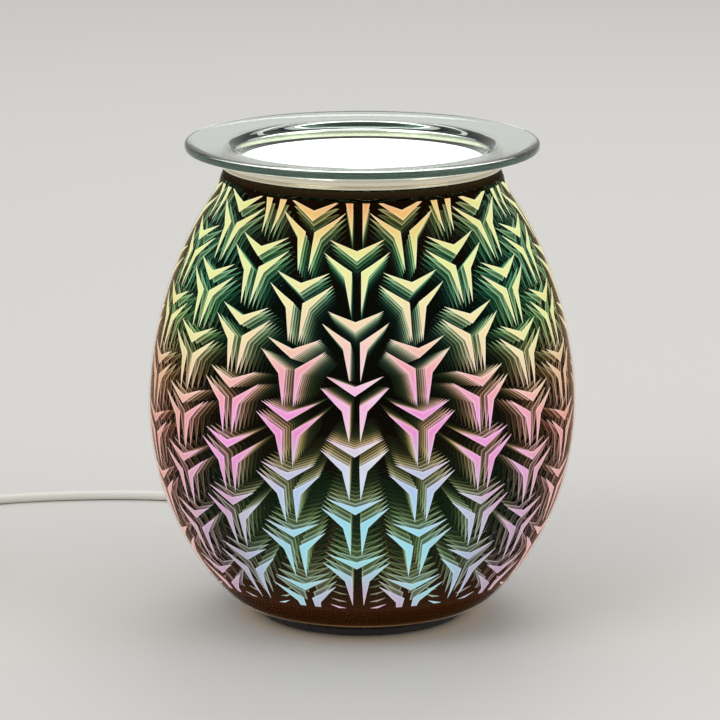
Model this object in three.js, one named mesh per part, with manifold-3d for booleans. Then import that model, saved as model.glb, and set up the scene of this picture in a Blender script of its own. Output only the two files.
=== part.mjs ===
// An electric oil burner: a mirrored glass egg on a low black base, with a polished neck ring, a clear oil
// dish that lifts off, a twist-lock reflector lamp under the dish, and a flat lead with a thumbwheel dimmer,
// a neat coil and a three-pin plug. Millimetres, +Z up. The origin is on the table, under the base's middle.
import * as THREE from 'three';
import { mergeVertices } from 'three/addons/utils/BufferGeometryUtils.js';
import Module from 'manifold-3d';

const wasm = await Module();
wasm.setup();

// Clearances
const seatGap = 0.3;
const runningGap = 0.4;
const packingGap = 0.1;

// Glass shade: an egg shell, open at its foot and neck
const shadeRadius = 73.2;
const shadeWidestHeight = 74;
const shadeUpperPower = 1.8;
const shadeWall = 3;
const shadeEdgeRound = 0.6;
const footMouthRadius = 34.5;
const footFlareWidth = 12.9;
const footLipHeight = 3.7;
const footRollHeight = 8.5;
const neckStartHeight = 147;
const neckStartRadius = 50;
const neckLength = 9;
const neckTopRadius = 46.3;

// Neck ring
const collarGasketHeight = 0.6;
const collarGasketWidth = 2;
const collarGasketInset = 0.4;
const collarHalfWidth = 1.3;
const collarHeight = 2.9;
const collarLipDrop = 0.9;
const collarLipClearance = 0.35;
const collarGroove = 0.35;
const collarChamfer = 0.7;

// Oil dish
const dishRadius = 60;
const dishFloorInset = 4.6;
const dishFloorDrop = 5.3;
const dishFloorWall = 2.6;
const dishWall = 2.6;
const dishCornerRadius = 2.7;
const dishRimWall = 2.9;
const dishFlangeRise = 1.5;
const dishRimRound = 1.1;

// Base
const baseClearance = 0.6;
const flangeOverlap = 1.4;
const flangeThickness = 2.3;
const flangeEdgeRound = 0.4;
const hubClearance = 0.6;
const hubWall = 2.5;
const hubHeight = 23.4;
const deckThickness = 2.2;
const coverThickness = 1.8;
const bossRadius = 3.2;
const bossInset = 7.9;
const coverScrewHeadRadius = 2.8;
const coverScrewRadius = 1.3;
const coverScrewLength = 8;
const footRadius = 4.5;
const footRing = 22;
const footSink = 0.7;
const retainingRingReach = 5.5;
const retainingRingHeight = 5;
const retainingRingBevel = 1.6;
const retainingRingNotches = 8;
const retainingRingNotchRadius = 1.6;

// Flat flex
const cordWidth = 4.9;
const cordThickness = 3;
const cordTableGap = 0.1;
const cordLoopGap = 0.5;
const cordLayerGap = 0.45;

// Cord entry, clamp and terminals under the deck
const bushWidth = 9;
const bushHeight = 5.2;
const bushLength = 4.4;
const clampSpan = 19;
const clampDepth = 6;
const clampBarHeight = 2;
const clampCentre = 15;
const clampedCordDrop = 7.3;
const clampScrewOffset = 6.4;
const clampScrewHeadRadius = 2.3;
const clampScrewRadius = 1.2;
const clampScrewLength = 7;
const terminalWidth = 17;
const terminalDepth = 12;
const terminalHeight = 8.5;
const terminalScrewRadius = 1.7;
const leadRadius = 1.1;
const leadOffset = 4;
const leadHoleRadius = 1.8;
const leadRise = 14.5;

// Lamp bracket and holder
const bracketThickness = 1.2;
const bracketWidth = 18;
const bracketHeight = 34;
const bracketSpan = 38;
const bracketVentRadius = 4.5;
const bracketFootLength = 9;
const bracketScrewOffset = 23.5;
const bracketScrewRadius = 1.4;
const bracketScrewHeadRadius = 2.8;
const holderLength = 34;
const holderDepth = 18;
const holderHeight = 18;
const holderScrewOffset = 13;
const holderScrewRadius = 1.3;
const holderScrewHeadRadius = 2.4;
const pinRing = 5;
const pinShaftRadius = 1.5;
const pinHeadRadius = 2.5;
const pinHeadHeight = 3.4;
const slotClearance = 0.3;
const slotLedge = 2;
const lampTurn = 30;

// Lamp
const lampLength = 53;
const lampBaseRadius = 11.5;
const lampBaseHeight = 17;
const reflectorRadius = 25;
const reflectorRimHeight = 4;
const reflectorWall = 1.3;
const frontGlassThickness = 1.5;
const capsuleRadius = 4.2;
const capsuleLength = 24;

// Inline dimmer
const dimmerLength = 62;
const dimmerWidth = 32;
const dimmerHeight = 17;
const dimmerWall = 2;
const dimmerCornerRadius = 11;
const dimmerBevel = 2.6;
const dimmerCentre = new THREE.Vector2(-165, 48);
const wheelRadius = 12.6;
const wheelThickness = 5.6;
const wheelReach = 1.6;
const wheelRidges = 24;
const wheelRidgeDepth = 0.5;
const spindleRadius = 2.4;
const dimmerScrewRadius = 1.2;
const dimmerScrewOffset = 24;
const boardWidth = 25;
const boardDepth = 12;
const boardThickness = 1.6;
const boardOffset = 13;
const reliefLength = 22;
const reliefRootRadius = 4.6;
const reliefTipRadius = 2.9;
const dimmerCordHeight = 5.4;

// Coil of put-away flex
const coilCentre = new THREE.Vector2(-201, -40);
const coilRadius = 36;
const coilTurns = 5.5;
const coilStepsPerTurn = 24;

// Three-pin plug, lying on its back with its pins up
const plugWidth = 50;
const plugLength = 52;
const plugHeight = 20;
const plugCornerRadius = 9;
const plugBevel = 3;
const plugCentre = new THREE.Vector2(-237, 47);
const plugCordHeight = 8;
const plugReliefLength = 28;
const plugReliefRoot = 6;
const plugReliefTip = 3.4;
const pinSpacing = 22.2;
const earthPin = { width: 4, depth: 8, height: 22.7 };
const linePin = { width: 6.35, depth: 4, height: 17.7 };
const pinSeatDepth = 6;
const pinShift = 4;
const gripRadius = 22;
const gripDepth = 3;
const gripShift = 6;
const fuseCarrierWall = 0.9;
const fuseCarrierEnd = 1.5;
const fuseCarrierFront = 2.4;
const fuseCarrierShift = 5.6;
const fuseRadius = 3.1;
const fuseLength = 24;

// Finishes
const finishes = {
  mirrorGlass: new THREE.MeshStandardMaterial({ color: 0x14261c, roughness: 0.08, metalness: 0.6 }),
  clearGlass: new THREE.MeshStandardMaterial({ color: 0xbfd8c6, roughness: 0.03, metalness: 0 }),
  chrome: new THREE.MeshStandardMaterial({ color: 0xd9d6cd, roughness: 0.1, metalness: 1 }),
  steel: new THREE.MeshStandardMaterial({ color: 0xa9abae, roughness: 0.35, metalness: 1 }),
  brass: new THREE.MeshStandardMaterial({ color: 0xc9a64e, roughness: 0.3, metalness: 1 }),
  blackPlastic: new THREE.MeshStandardMaterial({ color: 0x0c0c0d, roughness: 0.45, metalness: 0 }),
  blackRubber: new THREE.MeshStandardMaterial({ color: 0x161616, roughness: 0.8, metalness: 0 }),
  whitePlastic: new THREE.MeshStandardMaterial({ color: 0xeceae4, roughness: 0.4, metalness: 0 }),
  whiteFlex: new THREE.MeshStandardMaterial({ color: 0xe9e7e0, roughness: 0.5, metalness: 0 }),
  ceramic: new THREE.MeshStandardMaterial({ color: 0xe6e1d6, roughness: 0.6, metalness: 0 }),
  seal: new THREE.MeshStandardMaterial({ color: 0x2b2b2b, roughness: 0.7, metalness: 0 }),
  board: new THREE.MeshStandardMaterial({ color: 0x2f6b3c, roughness: 0.6, metalness: 0 }),
  reflector: new THREE.MeshStandardMaterial({ color: 0xdcdcdc, roughness: 0.15, metalness: 1 }),
};

const burner = new THREE.Group();

// Keeps only positions, welds them, drops flat triangles and turns the faces outward
function weld(geometry) {
  const bare = new THREE.BufferGeometry();
  bare.setAttribute('position', geometry.getAttribute('position').clone());
  if (geometry.index) {
    bare.setIndex(geometry.index.clone());
  }
  const merged = mergeVertices(bare, 1e-4);
  const index = merged.index.array;
  const kept = [];
  for (let i = 0; i < index.length; i += 3) {
    const [a, b, c] = [index[i], index[i + 1], index[i + 2]];
    if (a !== b && b !== c && c !== a) {
      kept.push(a, b, c);
    }
  }
  if (signedVolume(merged.getAttribute('position'), kept) < 0) {
    kept.reverse();
  }
  merged.setIndex(kept);
  return merged;
}

function signedVolume(position, index) {
  const corner = [new THREE.Vector3(), new THREE.Vector3(), new THREE.Vector3()];
  let sum = 0;
  for (let i = 0; i < index.length; i += 3) {
    corner.forEach((point, k) => point.fromBufferAttribute(position, index[i + k]));
    sum += corner[0].dot(corner[1].clone().cross(corner[2])) / 6;
  }
  return sum;
}

function toManifold(geometry) {
  const solid = weld(geometry);
  return new wasm.Manifold(new wasm.Mesh({
    numProp: 3,
    vertProperties: new Float32Array(solid.getAttribute('position').array),
    triVerts: new Uint32Array(solid.index.array),
  }));
}

function fromManifold(manifold) {
  const mesh = manifold.getMesh();
  const geometry = new THREE.BufferGeometry();
  geometry.setAttribute('position', new THREE.BufferAttribute(mesh.vertProperties, 3));
  geometry.setIndex(new THREE.BufferAttribute(mesh.triVerts, 1));
  return geometry;
}

function cut(geometry, ...tools) {
  return fromManifold(tools.reduce((left, tool) => left.subtract(toManifold(tool)), toManifold(geometry)));
}

function join(geometry, ...more) {
  return fromManifold(more.reduce((left, piece) => left.add(toManifold(piece)), toManifold(geometry)));
}

function common(geometry, other) {
  return fromManifold(toManifold(geometry).intersect(toManifold(other)));
}

function add(name, geometry, finish, x = 0, y = 0, z = 0) {
  const mesh = new THREE.Mesh(weld(geometry), finish);
  mesh.name = name;
  mesh.position.set(x, y, z);
  burner.add(mesh);
}

// A profile of [radius, height] pairs turned about +Z
function turned(profile, segments) {
  const closes = profile[0][0] > 0;
  const points = profile.map(([radius, height]) => new THREE.Vector2(radius, height));
  if (closes) {
    points.push(points[0].clone());
  }
  return new THREE.LatheGeometry(points, segments).rotateX(Math.PI / 2);
}

// Points on an arc about [radius, height], angles in degrees from the outward direction
function arc(centre, radius, from, to, steps) {
  return Array.from({ length: steps + 1 }, (_, i) => {
    const angle = THREE.MathUtils.degToRad(from + (to - from) * i / steps);
    return [centre[0] + radius * Math.cos(angle), centre[1] + radius * Math.sin(angle)];
  });
}

function rod(radius, bottom, top, x = 0, y = 0, segments = 16) {
  return new THREE.CylinderGeometry(radius, radius, top - bottom, segments)
    .rotateX(Math.PI / 2)
    .translate(x, y, (bottom + top) / 2);
}

function block(width, depth, bottom, top, x = 0, y = 0) {
  return new THREE.BoxGeometry(width, depth, top - bottom).translate(x, y, (bottom + top) / 2);
}

function roundedOutline(width, depth, radius) {
  const [x, y] = [width / 2 - radius, depth / 2 - radius];
  const outline = new THREE.Shape();
  outline.absarc(x, y, radius, 0, Math.PI / 2);
  outline.absarc(-x, y, radius, Math.PI / 2, Math.PI);
  outline.absarc(-x, -y, radius, Math.PI, Math.PI * 1.5);
  outline.absarc(x, -y, radius, Math.PI * 1.5, Math.PI * 2);
  return outline;
}

// A rounded slab whose upper and lower edges are bevelled
function softSlab(width, depth, height, radius, bevel, bevelSteps = 2) {
  const outline = roundedOutline(width - 2 * bevel, depth - 2 * bevel, Math.max(radius - bevel, 1));
  return new THREE.ExtrudeGeometry(outline, {
    depth: height - 2 * bevel,
    bevelEnabled: true,
    bevelThickness: bevel,
    bevelSize: bevel,
    bevelSegments: bevelSteps,
    curveSegments: 3,
  }).translate(0, 0, bevel);
}

function plainSlab(outline, bottom, top, curveSegments = 4) {
  return new THREE.ExtrudeGeometry(outline, { depth: top - bottom, bevelEnabled: false, curveSegments })
    .translate(0, 0, bottom);
}

function curveThrough(points) {
  return new THREE.CatmullRomCurve3(points.map((point) => new THREE.Vector3(...point)), false, 'centripetal');
}

// A round wire along points, kept square to its first and last stretch
function wire(points, radius, steps) {
  const path = curveThrough(points);
  const section = new THREE.Shape();
  section.absarc(0, 0, radius, 0, Math.PI * 2);
  return new THREE.ExtrudeGeometry(section, {
    extrudePath: path,
    steps,
    bevelEnabled: false,
    curveSegments: 2,
  });
}

// Glass shade

// How far the egg's two halves would reach if they closed, from its radii at the foot roll and the neck
const footRollRadius = footMouthRadius + footFlareWidth;
const shadeLowerReach = (shadeWidestHeight - footRollHeight)
  / Math.sqrt(1 - (footRollRadius / shadeRadius) ** 2);
const shadeUpperReach = (neckStartHeight - shadeWidestHeight)
  / (1 - (neckStartRadius / shadeRadius) ** 2) ** (1 / shadeUpperPower);
const neckTopHeight = neckStartHeight + neckLength;
const neckSlope = (neckTopRadius - neckStartRadius) / neckLength;

function eggRadius(height) {
  const rise = height - shadeWidestHeight;
  const share = rise < 0
    ? (-rise / shadeLowerReach) ** 2
    : (rise / shadeUpperReach) ** shadeUpperPower;
  return shadeRadius * Math.sqrt(1 - share);
}

function neckRadius(height) {
  return neckStartRadius + neckSlope * (height - neckStartHeight);
}

// The outward normal of the egg's outline, from a short chord
function eggNormal(height) {
  const span = 0.01;
  const slope = (eggRadius(height + span) - eggRadius(height - span)) / (2 * span);
  const length = Math.hypot(1, slope);
  return [1 / length, -slope / length];
}

// The arc that rolls the egg's lower edge under to a flat lip
const rollNormal = eggNormal(footRollHeight);
const rollRadius = (footRollHeight - footLipHeight) / (1 + rollNormal[1]);
const rollCentre = [
  eggRadius(footRollHeight) - rollRadius * rollNormal[0],
  footRollHeight - rollRadius * rollNormal[1],
];
const rollAngle = THREE.MathUtils.radToDeg(Math.atan2(rollNormal[1], rollNormal[0]));

// The egg's outline from its foot roll to its neck, set in by inset. Even steps of angle put more rings
// where the egg bends more.
function eggOutline(inset, steps) {
  const from = Math.asin((footRollHeight - shadeWidestHeight) / shadeLowerReach);
  const to = Math.asin((neckStartHeight - shadeWidestHeight) / shadeUpperReach);
  return Array.from({ length: steps }, (_, i) => {
    const angle = from + (to - from) * (i + 1) / steps;
    const reach = angle < 0 ? shadeLowerReach : shadeUpperReach;
    const height = shadeWidestHeight + reach * Math.sin(angle);
    const normal = eggNormal(height);
    return [eggRadius(height) - inset * normal[0], height - inset * normal[1]];
  });
}

function shadeProfile() {
  const outer = eggOutline(0, 12);
  const inner = eggOutline(shadeWall, 9);
  const outerRoll = arc(rollCentre, rollRadius, -90, rollAngle, 4);
  const innerRoll = arc(rollCentre, rollRadius - shadeWall, -90, rollAngle, 4);
  const edge = shadeEdgeRound;
  const neckInner = neckTopRadius - shadeWall;
  return [
    [footMouthRadius, footLipHeight + edge],
    [footMouthRadius + edge, footLipHeight],
    ...outerRoll,
    ...outer,
    [neckTopRadius - neckSlope * edge, neckTopHeight - edge],
    [neckTopRadius - edge, neckTopHeight],
    [neckInner + edge, neckTopHeight],
    [neckInner, neckTopHeight - edge],
    ...inner.reverse(),
    ...innerRoll.reverse(),
    [footMouthRadius, footLipHeight + shadeWall],
  ];
}

function buildShade() {
  add('glass_shade', turned(shadeProfile(), 40), finishes.mirrorGlass);
}

// Neck ring and oil dish

const collarBoreRadius = neckTopRadius - collarHalfWidth;
const collarRadius = neckTopRadius + collarHalfWidth;
const collarSeat = neckTopHeight + collarGasketHeight;
const collarTop = collarSeat + collarHeight;
const dishFlangeBottom = collarTop + seatGap;
const dishFloorBottom = dishFlangeBottom - dishFloorDrop;
const dishFloorTop = dishFloorBottom + dishFloorWall;
const dishTop = dishFlangeBottom + dishFlangeRise + dishRimWall;

function buildCollar() {
  const gasketOuter = neckTopRadius - collarGasketInset;
  const gasketInner = gasketOuter - collarGasketWidth;
  add('collar_gasket', turned([
    [gasketInner, neckTopHeight + packingGap],
    [gasketOuter, neckTopHeight + packingGap],
    [gasketOuter, collarSeat - packingGap],
    [gasketInner, collarSeat - packingGap],
  ], 36), finishes.seal);
  const lipBottom = neckTopHeight - collarLipDrop + collarGasketHeight;
  const lipInner = neckRadius(lipBottom) + collarLipClearance;
  const beadHeight = (collarTop - collarSeat) / 2;
  const beadCentre = [collarRadius - beadHeight * 0.5, collarTop - beadHeight];
  const bead = arc([0, 0], 1, -90, 90, 4).map(([x, y]) => [
    beadCentre[0] + x * beadHeight * 0.5,
    beadCentre[1] + y * beadHeight,
  ]);
  add('neck_collar', turned([
    [collarBoreRadius, collarSeat],
    [lipInner, collarSeat],
    [lipInner, lipBottom],
    [collarRadius - collarGroove / 2, lipBottom],
    [collarRadius, lipBottom + collarLipDrop / 2],
    [collarRadius - collarGroove, collarSeat - collarGroove / 2],
    ...bead,
    [collarBoreRadius + collarChamfer, collarTop],
    [collarBoreRadius, collarTop - collarChamfer],
  ], 40), finishes.chrome);
}

function dishProfile() {
  const lean = 70;
  const cornerCentre = [collarBoreRadius - dishFloorInset, dishFloorBottom + dishCornerRadius];
  const lowerCorner = arc(cornerCentre, dishCornerRadius, -90, lean - 90, 4);
  const lowerFillet = [
    [collarBoreRadius - 1.1, dishFlangeBottom - 1.2],
    [collarBoreRadius - 0.5, dishFlangeBottom - 0.4],
    [collarBoreRadius + 0.6, dishFlangeBottom],
  ];
  const flangeMiddle = [(collarBoreRadius + dishRadius) / 2, dishFlangeBottom + dishFlangeRise * 0.4];
  const rimBottom = dishTop - dishRimWall;
  const rim = [
    ...arc([dishRadius - dishRimRound, rimBottom + dishRimRound], dishRimRound, -90, 0, 3),
    ...arc([dishRadius - dishRimRound, dishTop - dishRimRound], dishRimRound, 0, 90, 3),
  ];
  const bowlTopRadius = collarBoreRadius - 0.6;
  const upper = [
    [flangeMiddle[0] - 0.6, flangeMiddle[1] + dishRimWall + 0.2],
    [bowlTopRadius + 1.6, dishFlangeBottom + dishRimWall + 0.2],
    [bowlTopRadius - 0.4, dishFlangeBottom + dishRimWall - 0.6],
    [bowlTopRadius - 1.9, dishFlangeBottom + dishRimWall - 2.2],
    [bowlTopRadius - dishWall - 0.6, dishFloorTop + 1.6],
    [bowlTopRadius - dishWall - 1.6, dishFloorTop + 0.5],
    [bowlTopRadius - dishWall - 3.2, dishFloorTop],
  ];
  const lower = [[0, dishFloorBottom], ...lowerCorner, ...lowerFillet, flangeMiddle];
  return [...lower, ...rim, ...upper, [0, dishFloorTop]];
}

function buildDish() {
  add('oil_dish', turned(dishProfile(), 40), finishes.clearGlass);
}

// Base pan, its cover, feet and the ring that clamps the glass

const flangeTop = baseClearance + flangeThickness;
const flangeRadius = footMouthRadius + flangeOverlap;
const hubRadius = footMouthRadius - hubClearance;
const hubTop = baseClearance + hubHeight;
const deckBottom = hubTop - deckThickness;
const coverRadius = hubRadius - hubWall + 0.2;
const coverBottom = baseClearance + packingGap;
const coverTop = coverBottom + coverThickness;
const cordCentreHeight = cordTableGap + cordThickness / 2;
const cordPassWidth = cordWidth + 2 * seatGap;
const clampedCordHeight = deckBottom - clampedCordDrop;
const bushBack = hubRadius - seatGap;
const bushTop = baseClearance + bushHeight;

function ringPlaces(count, radius, turn = 0) {
  return Array.from({ length: count }, (_, i) => {
    const angle = turn + i * 2 * Math.PI / count;
    return [radius * Math.cos(angle), radius * Math.sin(angle)];
  });
}

const coverScrewPlaces = ringPlaces(3, hubRadius - bossInset, -Math.PI / 2);
const footPlaces = ringPlaces(4, footRing, Math.PI / 4);

function buildBase() {
  const ledge = coverTop + packingGap;
  const innerRadius = hubRadius - hubWall;
  const shell = turned([
    [0, deckBottom],
    [innerRadius, deckBottom],
    [innerRadius, ledge],
    [coverRadius + seatGap, ledge],
    [coverRadius + seatGap, baseClearance],
    [flangeRadius - flangeEdgeRound, baseClearance],
    [flangeRadius, baseClearance + flangeEdgeRound],
    [flangeRadius, flangeTop - flangeEdgeRound],
    [flangeRadius - flangeEdgeRound, flangeTop],
    [hubRadius, flangeTop],
    [hubRadius, hubTop - 1],
    [hubRadius - 1, hubTop],
    [0, hubTop],
  ], 36);
  const bosses = coverScrewPlaces.map(([x, y]) => rod(bossRadius, ledge, deckBottom + 0.5, x, y, 12));
  const saddleBottom = clampedCordHeight + cordThickness / 2 + seatGap;
  const saddle = block(clampSpan, clampDepth, saddleBottom, deckBottom + 0.5, 0, clampCentre);
  const pilotHoles = coverScrewPlaces.map(([x, y]) => rod(
    coverScrewRadius + packingGap, ledge - 1, ledge + coverScrewLength, x, y, 10));
  const clampHoles = [-1, 1].map((side) => rod(clampScrewRadius + packingGap, saddleBottom - 1,
    saddleBottom + clampScrewLength - clampBarHeight - 2, side * clampScrewOffset, clampCentre, 10));
  const leadHoles = [-1, 1].map((side) => rod(leadHoleRadius, deckBottom - 1, hubTop + 1,
    side * leadOffset, -leadRise, 12));
  const bracketHoles = [-1, 1].map((side) => rod(bracketScrewRadius + packingGap, deckBottom - 1, hubTop + 1,
    side * bracketScrewOffset, 0, 10));
  const bushWindow = block(bushWidth + 2 * seatGap, 2 * hubWall + 2, baseClearance - 1, bushTop + seatGap,
    0, hubRadius - hubWall / 2 - 0.1);
  const windowInFlange = block(bushWidth + 6, 8, baseClearance - 2, bushTop + 2, 0, hubRadius + 4);
  const window = cut(bushWindow, windowInFlange);
  const cordPass = block(cordPassWidth, 10, -1, cordTableGap + cordThickness + 0.4, 0, hubRadius + 2);
  add('base_pan', cut(join(shell, ...bosses, saddle), ...pilotHoles, ...clampHoles, ...leadHoles,
    ...bracketHoles, window, cordPass), finishes.blackPlastic);

  const cover = rod(coverRadius, coverBottom, coverTop, 0, 0, 30);
  const sinks = footPlaces.map(([x, y]) => rod(
    footRadius + seatGap, coverBottom - 1, coverBottom + footSink, x, y, 16));
  const screwHoles = coverScrewPlaces.flatMap(([x, y]) => [
    rod(coverScrewRadius + seatGap, coverBottom - 1, coverTop + 1, x, y, 8),
    rod(coverScrewHeadRadius + seatGap, coverBottom - 1, coverBottom + coverThickness / 2, x, y, 12),
  ]);
  const rise = block(bushWidth + 2 * seatGap, 18, coverBottom - 1, coverTop + 1, 0, coverRadius);
  add('base_cover', cut(cover, ...sinks, ...screwHoles, rise), finishes.blackPlastic);

  coverScrewPlaces.forEach(([x, y], i) => {
    const headBottom = coverBottom + 0.1;
    const headTop = coverBottom + coverThickness / 2 - packingGap;
    const screw = join(
      rod(coverScrewHeadRadius, headBottom, headTop, x, y, 12),
      rod(coverScrewRadius, headTop - 0.2, headTop + coverScrewLength, x, y, 8));
    const drive = block(2 * coverScrewHeadRadius + 1, 0.8, headBottom - 1, headBottom + 0.4, x, y);
    add(`cover_screw_${i + 1}`, cut(screw, drive), finishes.steel);
  });

  footPlaces.forEach(([x, y], i) => {
    add(`foot_${i + 1}`, turned([
      [0, 0],
      [footRadius - 0.5, 0],
      [footRadius, 0.5],
      [footRadius, coverBottom + footSink - packingGap],
      [0, coverBottom + footSink - packingGap],
    ], 16).translate(x, y, 0), finishes.blackRubber);
  });

  const gasket = turned([
    [hubRadius + seatGap, flangeTop + packingGap],
    [flangeRadius, flangeTop + packingGap],
    [flangeRadius, footLipHeight - packingGap],
    [hubRadius + seatGap, footLipHeight - packingGap],
  ], 36);
  const gasketSlot = block(cordPassWidth, 10, 0, flangeTop + 3, 0, hubRadius + 2);
  add('shade_gasket', cut(gasket, gasketSlot), finishes.seal);

  const ringBottom = footLipHeight + shadeWall + seatGap;
  const ringTop = ringBottom + retainingRingHeight;
  const ringRadius = footMouthRadius + retainingRingReach;
  const ring = turned([
    [hubRadius + seatGap, ringBottom],
    [rollCentre[0], ringBottom],
    [ringRadius, ringBottom + retainingRingBevel],
    [ringRadius, ringTop - retainingRingBevel / 2],
    [ringRadius - retainingRingBevel / 2, ringTop],
    [hubRadius + seatGap, ringTop],
  ], 36);
  const notches = ringPlaces(retainingRingNotches, ringRadius).map(([x, y]) => rod(
    retainingRingNotchRadius, ringBottom + retainingRingBevel + seatGap, ringTop + 1, x, y, 8));
  add('retaining_ring', cut(ring, ...notches), finishes.blackPlastic);
}

// Cord entry, clamp, terminals and leads

function flatSection(sides) {
  const [half, flat] = [cordWidth / 2, cordThickness / 2];
  const edge = half - flat * 0.85;
  const outline = sides === 6
    ? [[0, half], [flat, edge], [flat, -edge], [0, -half], [-flat, -edge], [-flat, edge]]
    : [[flat * 0.45, half], [flat, edge], [flat, -edge], [flat * 0.45, -half],
      [-flat * 0.45, -half], [-flat, -edge], [-flat, edge], [-flat * 0.45, half]];
  return outline;
}

function buildWiring() {
  const bush = block(bushWidth, bushLength, baseClearance + 0.3, bushTop, 0, bushBack - bushLength / 2);
  const channel = block(cordWidth + 2 * seatGap, bushLength + 2, -1, cordTableGap + cordThickness + seatGap,
    0, bushBack - bushLength / 2);
  add('cord_bush', cut(bush, channel), finishes.blackRubber);

  const entry = bushBack - bushLength - 1.2;
  const clampFront = clampCentre - clampDepth / 2 - 1.5;
  const path = curveThrough([
    [0, hubRadius + 1.2, cordCentreHeight],
    [0, entry + 1.5, cordCentreHeight],
    [0, entry - 1.5, cordCentreHeight + 1.6],
    [0, clampCentre + clampDepth / 2 + 2.6, clampedCordHeight - 2],
    [0, clampCentre + clampDepth / 2, clampedCordHeight],
    [0, clampCentre - clampDepth / 2, clampedCordHeight],
    [0, clampFront, clampedCordHeight],
  ]);
  // The first stretch runs in the YZ plane, so the section's wide side is turned to lie along X
  const section = new THREE.Shape(flatSection(8).map(([x, y]) => new THREE.Vector2(y, x)));
  add('inner_cord', new THREE.ExtrudeGeometry(section, { extrudePath: path, steps: 16, bevelEnabled: false }),
    finishes.whiteFlex);

  const barTop = clampedCordHeight - cordThickness / 2 - seatGap;
  const barBottom = barTop - clampBarHeight;
  const bar = block(clampSpan, clampDepth, barBottom, barTop, 0, clampCentre);
  const barHoles = [-1, 1].map((side) => rod(clampScrewRadius + seatGap, barBottom - 1, barTop + 1,
    side * clampScrewOffset, clampCentre, 12));
  add('cord_clamp', cut(bar, ...barHoles), finishes.blackPlastic);
  [-1, 1].forEach((side, i) => {
    const headTop = barBottom - packingGap;
    add(`clamp_screw_${i + 1}`, join(
      rod(clampScrewHeadRadius, headTop - 1.5, headTop, 0, 0, 12),
      rod(clampScrewRadius, headTop - 0.5, headTop + clampScrewLength, 0, 0, 8)),
    finishes.steel, side * clampScrewOffset, clampCentre, 0);
  });

  const terminalTop = deckBottom - packingGap;
  const terminalBack = clampFront - seatGap;
  const terminalCentre = terminalBack - terminalDepth / 2;
  const terminalBottom = terminalTop - terminalHeight;
  const body = block(terminalWidth, terminalDepth, terminalBottom, terminalTop, 0, terminalCentre);
  const groove = block(1.4, terminalDepth + 2, terminalBottom - 1, terminalBottom + 3, 0, terminalCentre);
  const screwWells = [-1, 1].flatMap((side) => [-1, 1].map((end) => rod(terminalScrewRadius,
    terminalBottom - 1, terminalBottom + 2.5,
    side * leadOffset, terminalCentre + end * terminalDepth / 4, 10)));
  add('terminal_block', cut(body, groove, ...screwWells), finishes.whitePlastic);

  const terminalFront = terminalCentre - terminalDepth / 2;
  const leadHeight = terminalTop - terminalHeight / 2;
  const holderBack = -holderDepth / 2;
  [-1, 1].forEach((side, i) => {
    const x = side * leadOffset;
    add(`holder_lead_${i + 1}`, wire([
      [x, terminalFront - seatGap, leadHeight],
      [x, terminalFront - 2.5, leadHeight],
      [x, -leadRise + 1.2, leadHeight + 1.6],
      [x, -leadRise, deckBottom],
      [x, -leadRise, hubTop + 4],
      [x, -leadRise, holderBottom - 8],
      [x, -leadRise + 0.8, holderBottom + 1.5],
      [x, holderBack - 2.6, holderBottom + 4],
      [x, holderBack - seatGap, holderBottom + 4],
    ], leadRadius, 26), finishes.whiteFlex);
  });
}

// Bracket, holder and lamp

const bracketTop = hubTop + bracketHeight + bracketThickness;
const holderBottom = bracketTop + packingGap;
const holderTop = holderBottom + holderHeight;
const lampBottom = holderTop + runningGap;
const lampTop = lampBottom + lampLength;

function buildBracket() {
  const [span, foot, t] = [bracketSpan / 2, bracketFootLength, bracketThickness];
  const bottom = hubTop + packingGap;
  const profile = new THREE.Shape([
    [-span - foot, bottom], [-span + t, bottom], [-span + t, bracketTop - t], [span - t, bracketTop - t],
    [span - t, bottom], [span + foot, bottom], [span + foot, bottom + t], [span, bottom + t],
    [span, bracketTop], [-span, bracketTop], [-span, bottom + t], [-span - foot, bottom + t],
  ].map(([x, z]) => new THREE.Vector2(x, z)));
  // Extruded along -Y after the turn, so it is moved back by half its width
  const strap = new THREE.ExtrudeGeometry(profile, { depth: bracketWidth, bevelEnabled: false })
    .rotateX(Math.PI / 2).translate(0, bracketWidth / 2, 0);
  const footHoles = [-1, 1].map((side) => rod(bracketScrewRadius + seatGap, bottom - 1, bottom + t + 1,
    side * bracketScrewOffset, 0, 12));
  const holderHoles = [-1, 1].map((side) => rod(
    holderScrewRadius + packingGap, bracketTop - t - 1, bracketTop + 1, side * holderScrewOffset, 0, 12));
  const vent = rod(bracketVentRadius, bracketTop - t - 1, bracketTop + 1, 0, 0, 20);
  add('lamp_bracket', cut(strap, ...footHoles, ...holderHoles, vent), finishes.steel);
  [-1, 1].forEach((side, i) => {
    const seat = bottom + t + packingGap;
    add(`bracket_screw_${i + 1}`, join(
      rod(bracketScrewHeadRadius, seat, seat + 1.8, 0, 0, 12),
      rod(bracketScrewRadius, deckBottom - 2, seat + 0.5, 0, 0, 8)),
    finishes.steel, side * bracketScrewOffset, 0, 0);
  });
}

// A slot that follows the pins' circle, with round ends
function arcSlot(halfWidth, from, to, bottom, top) {
  const [start, end] = [from, to].map(THREE.MathUtils.degToRad);
  const shape = new THREE.Shape();
  const startCentre = [pinRing * Math.cos(start), pinRing * Math.sin(start)];
  const endCentre = [pinRing * Math.cos(end), pinRing * Math.sin(end)];
  shape.absarc(0, 0, pinRing + halfWidth, start, end, false);
  shape.absarc(endCentre[0], endCentre[1], halfWidth, end, end + Math.PI, false);
  shape.absarc(0, 0, pinRing - halfWidth, end, start, true);
  shape.absarc(startCentre[0], startCentre[1], halfWidth, start - Math.PI, start, false);
  return plainSlab(shape, bottom, top, 4);
}

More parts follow.
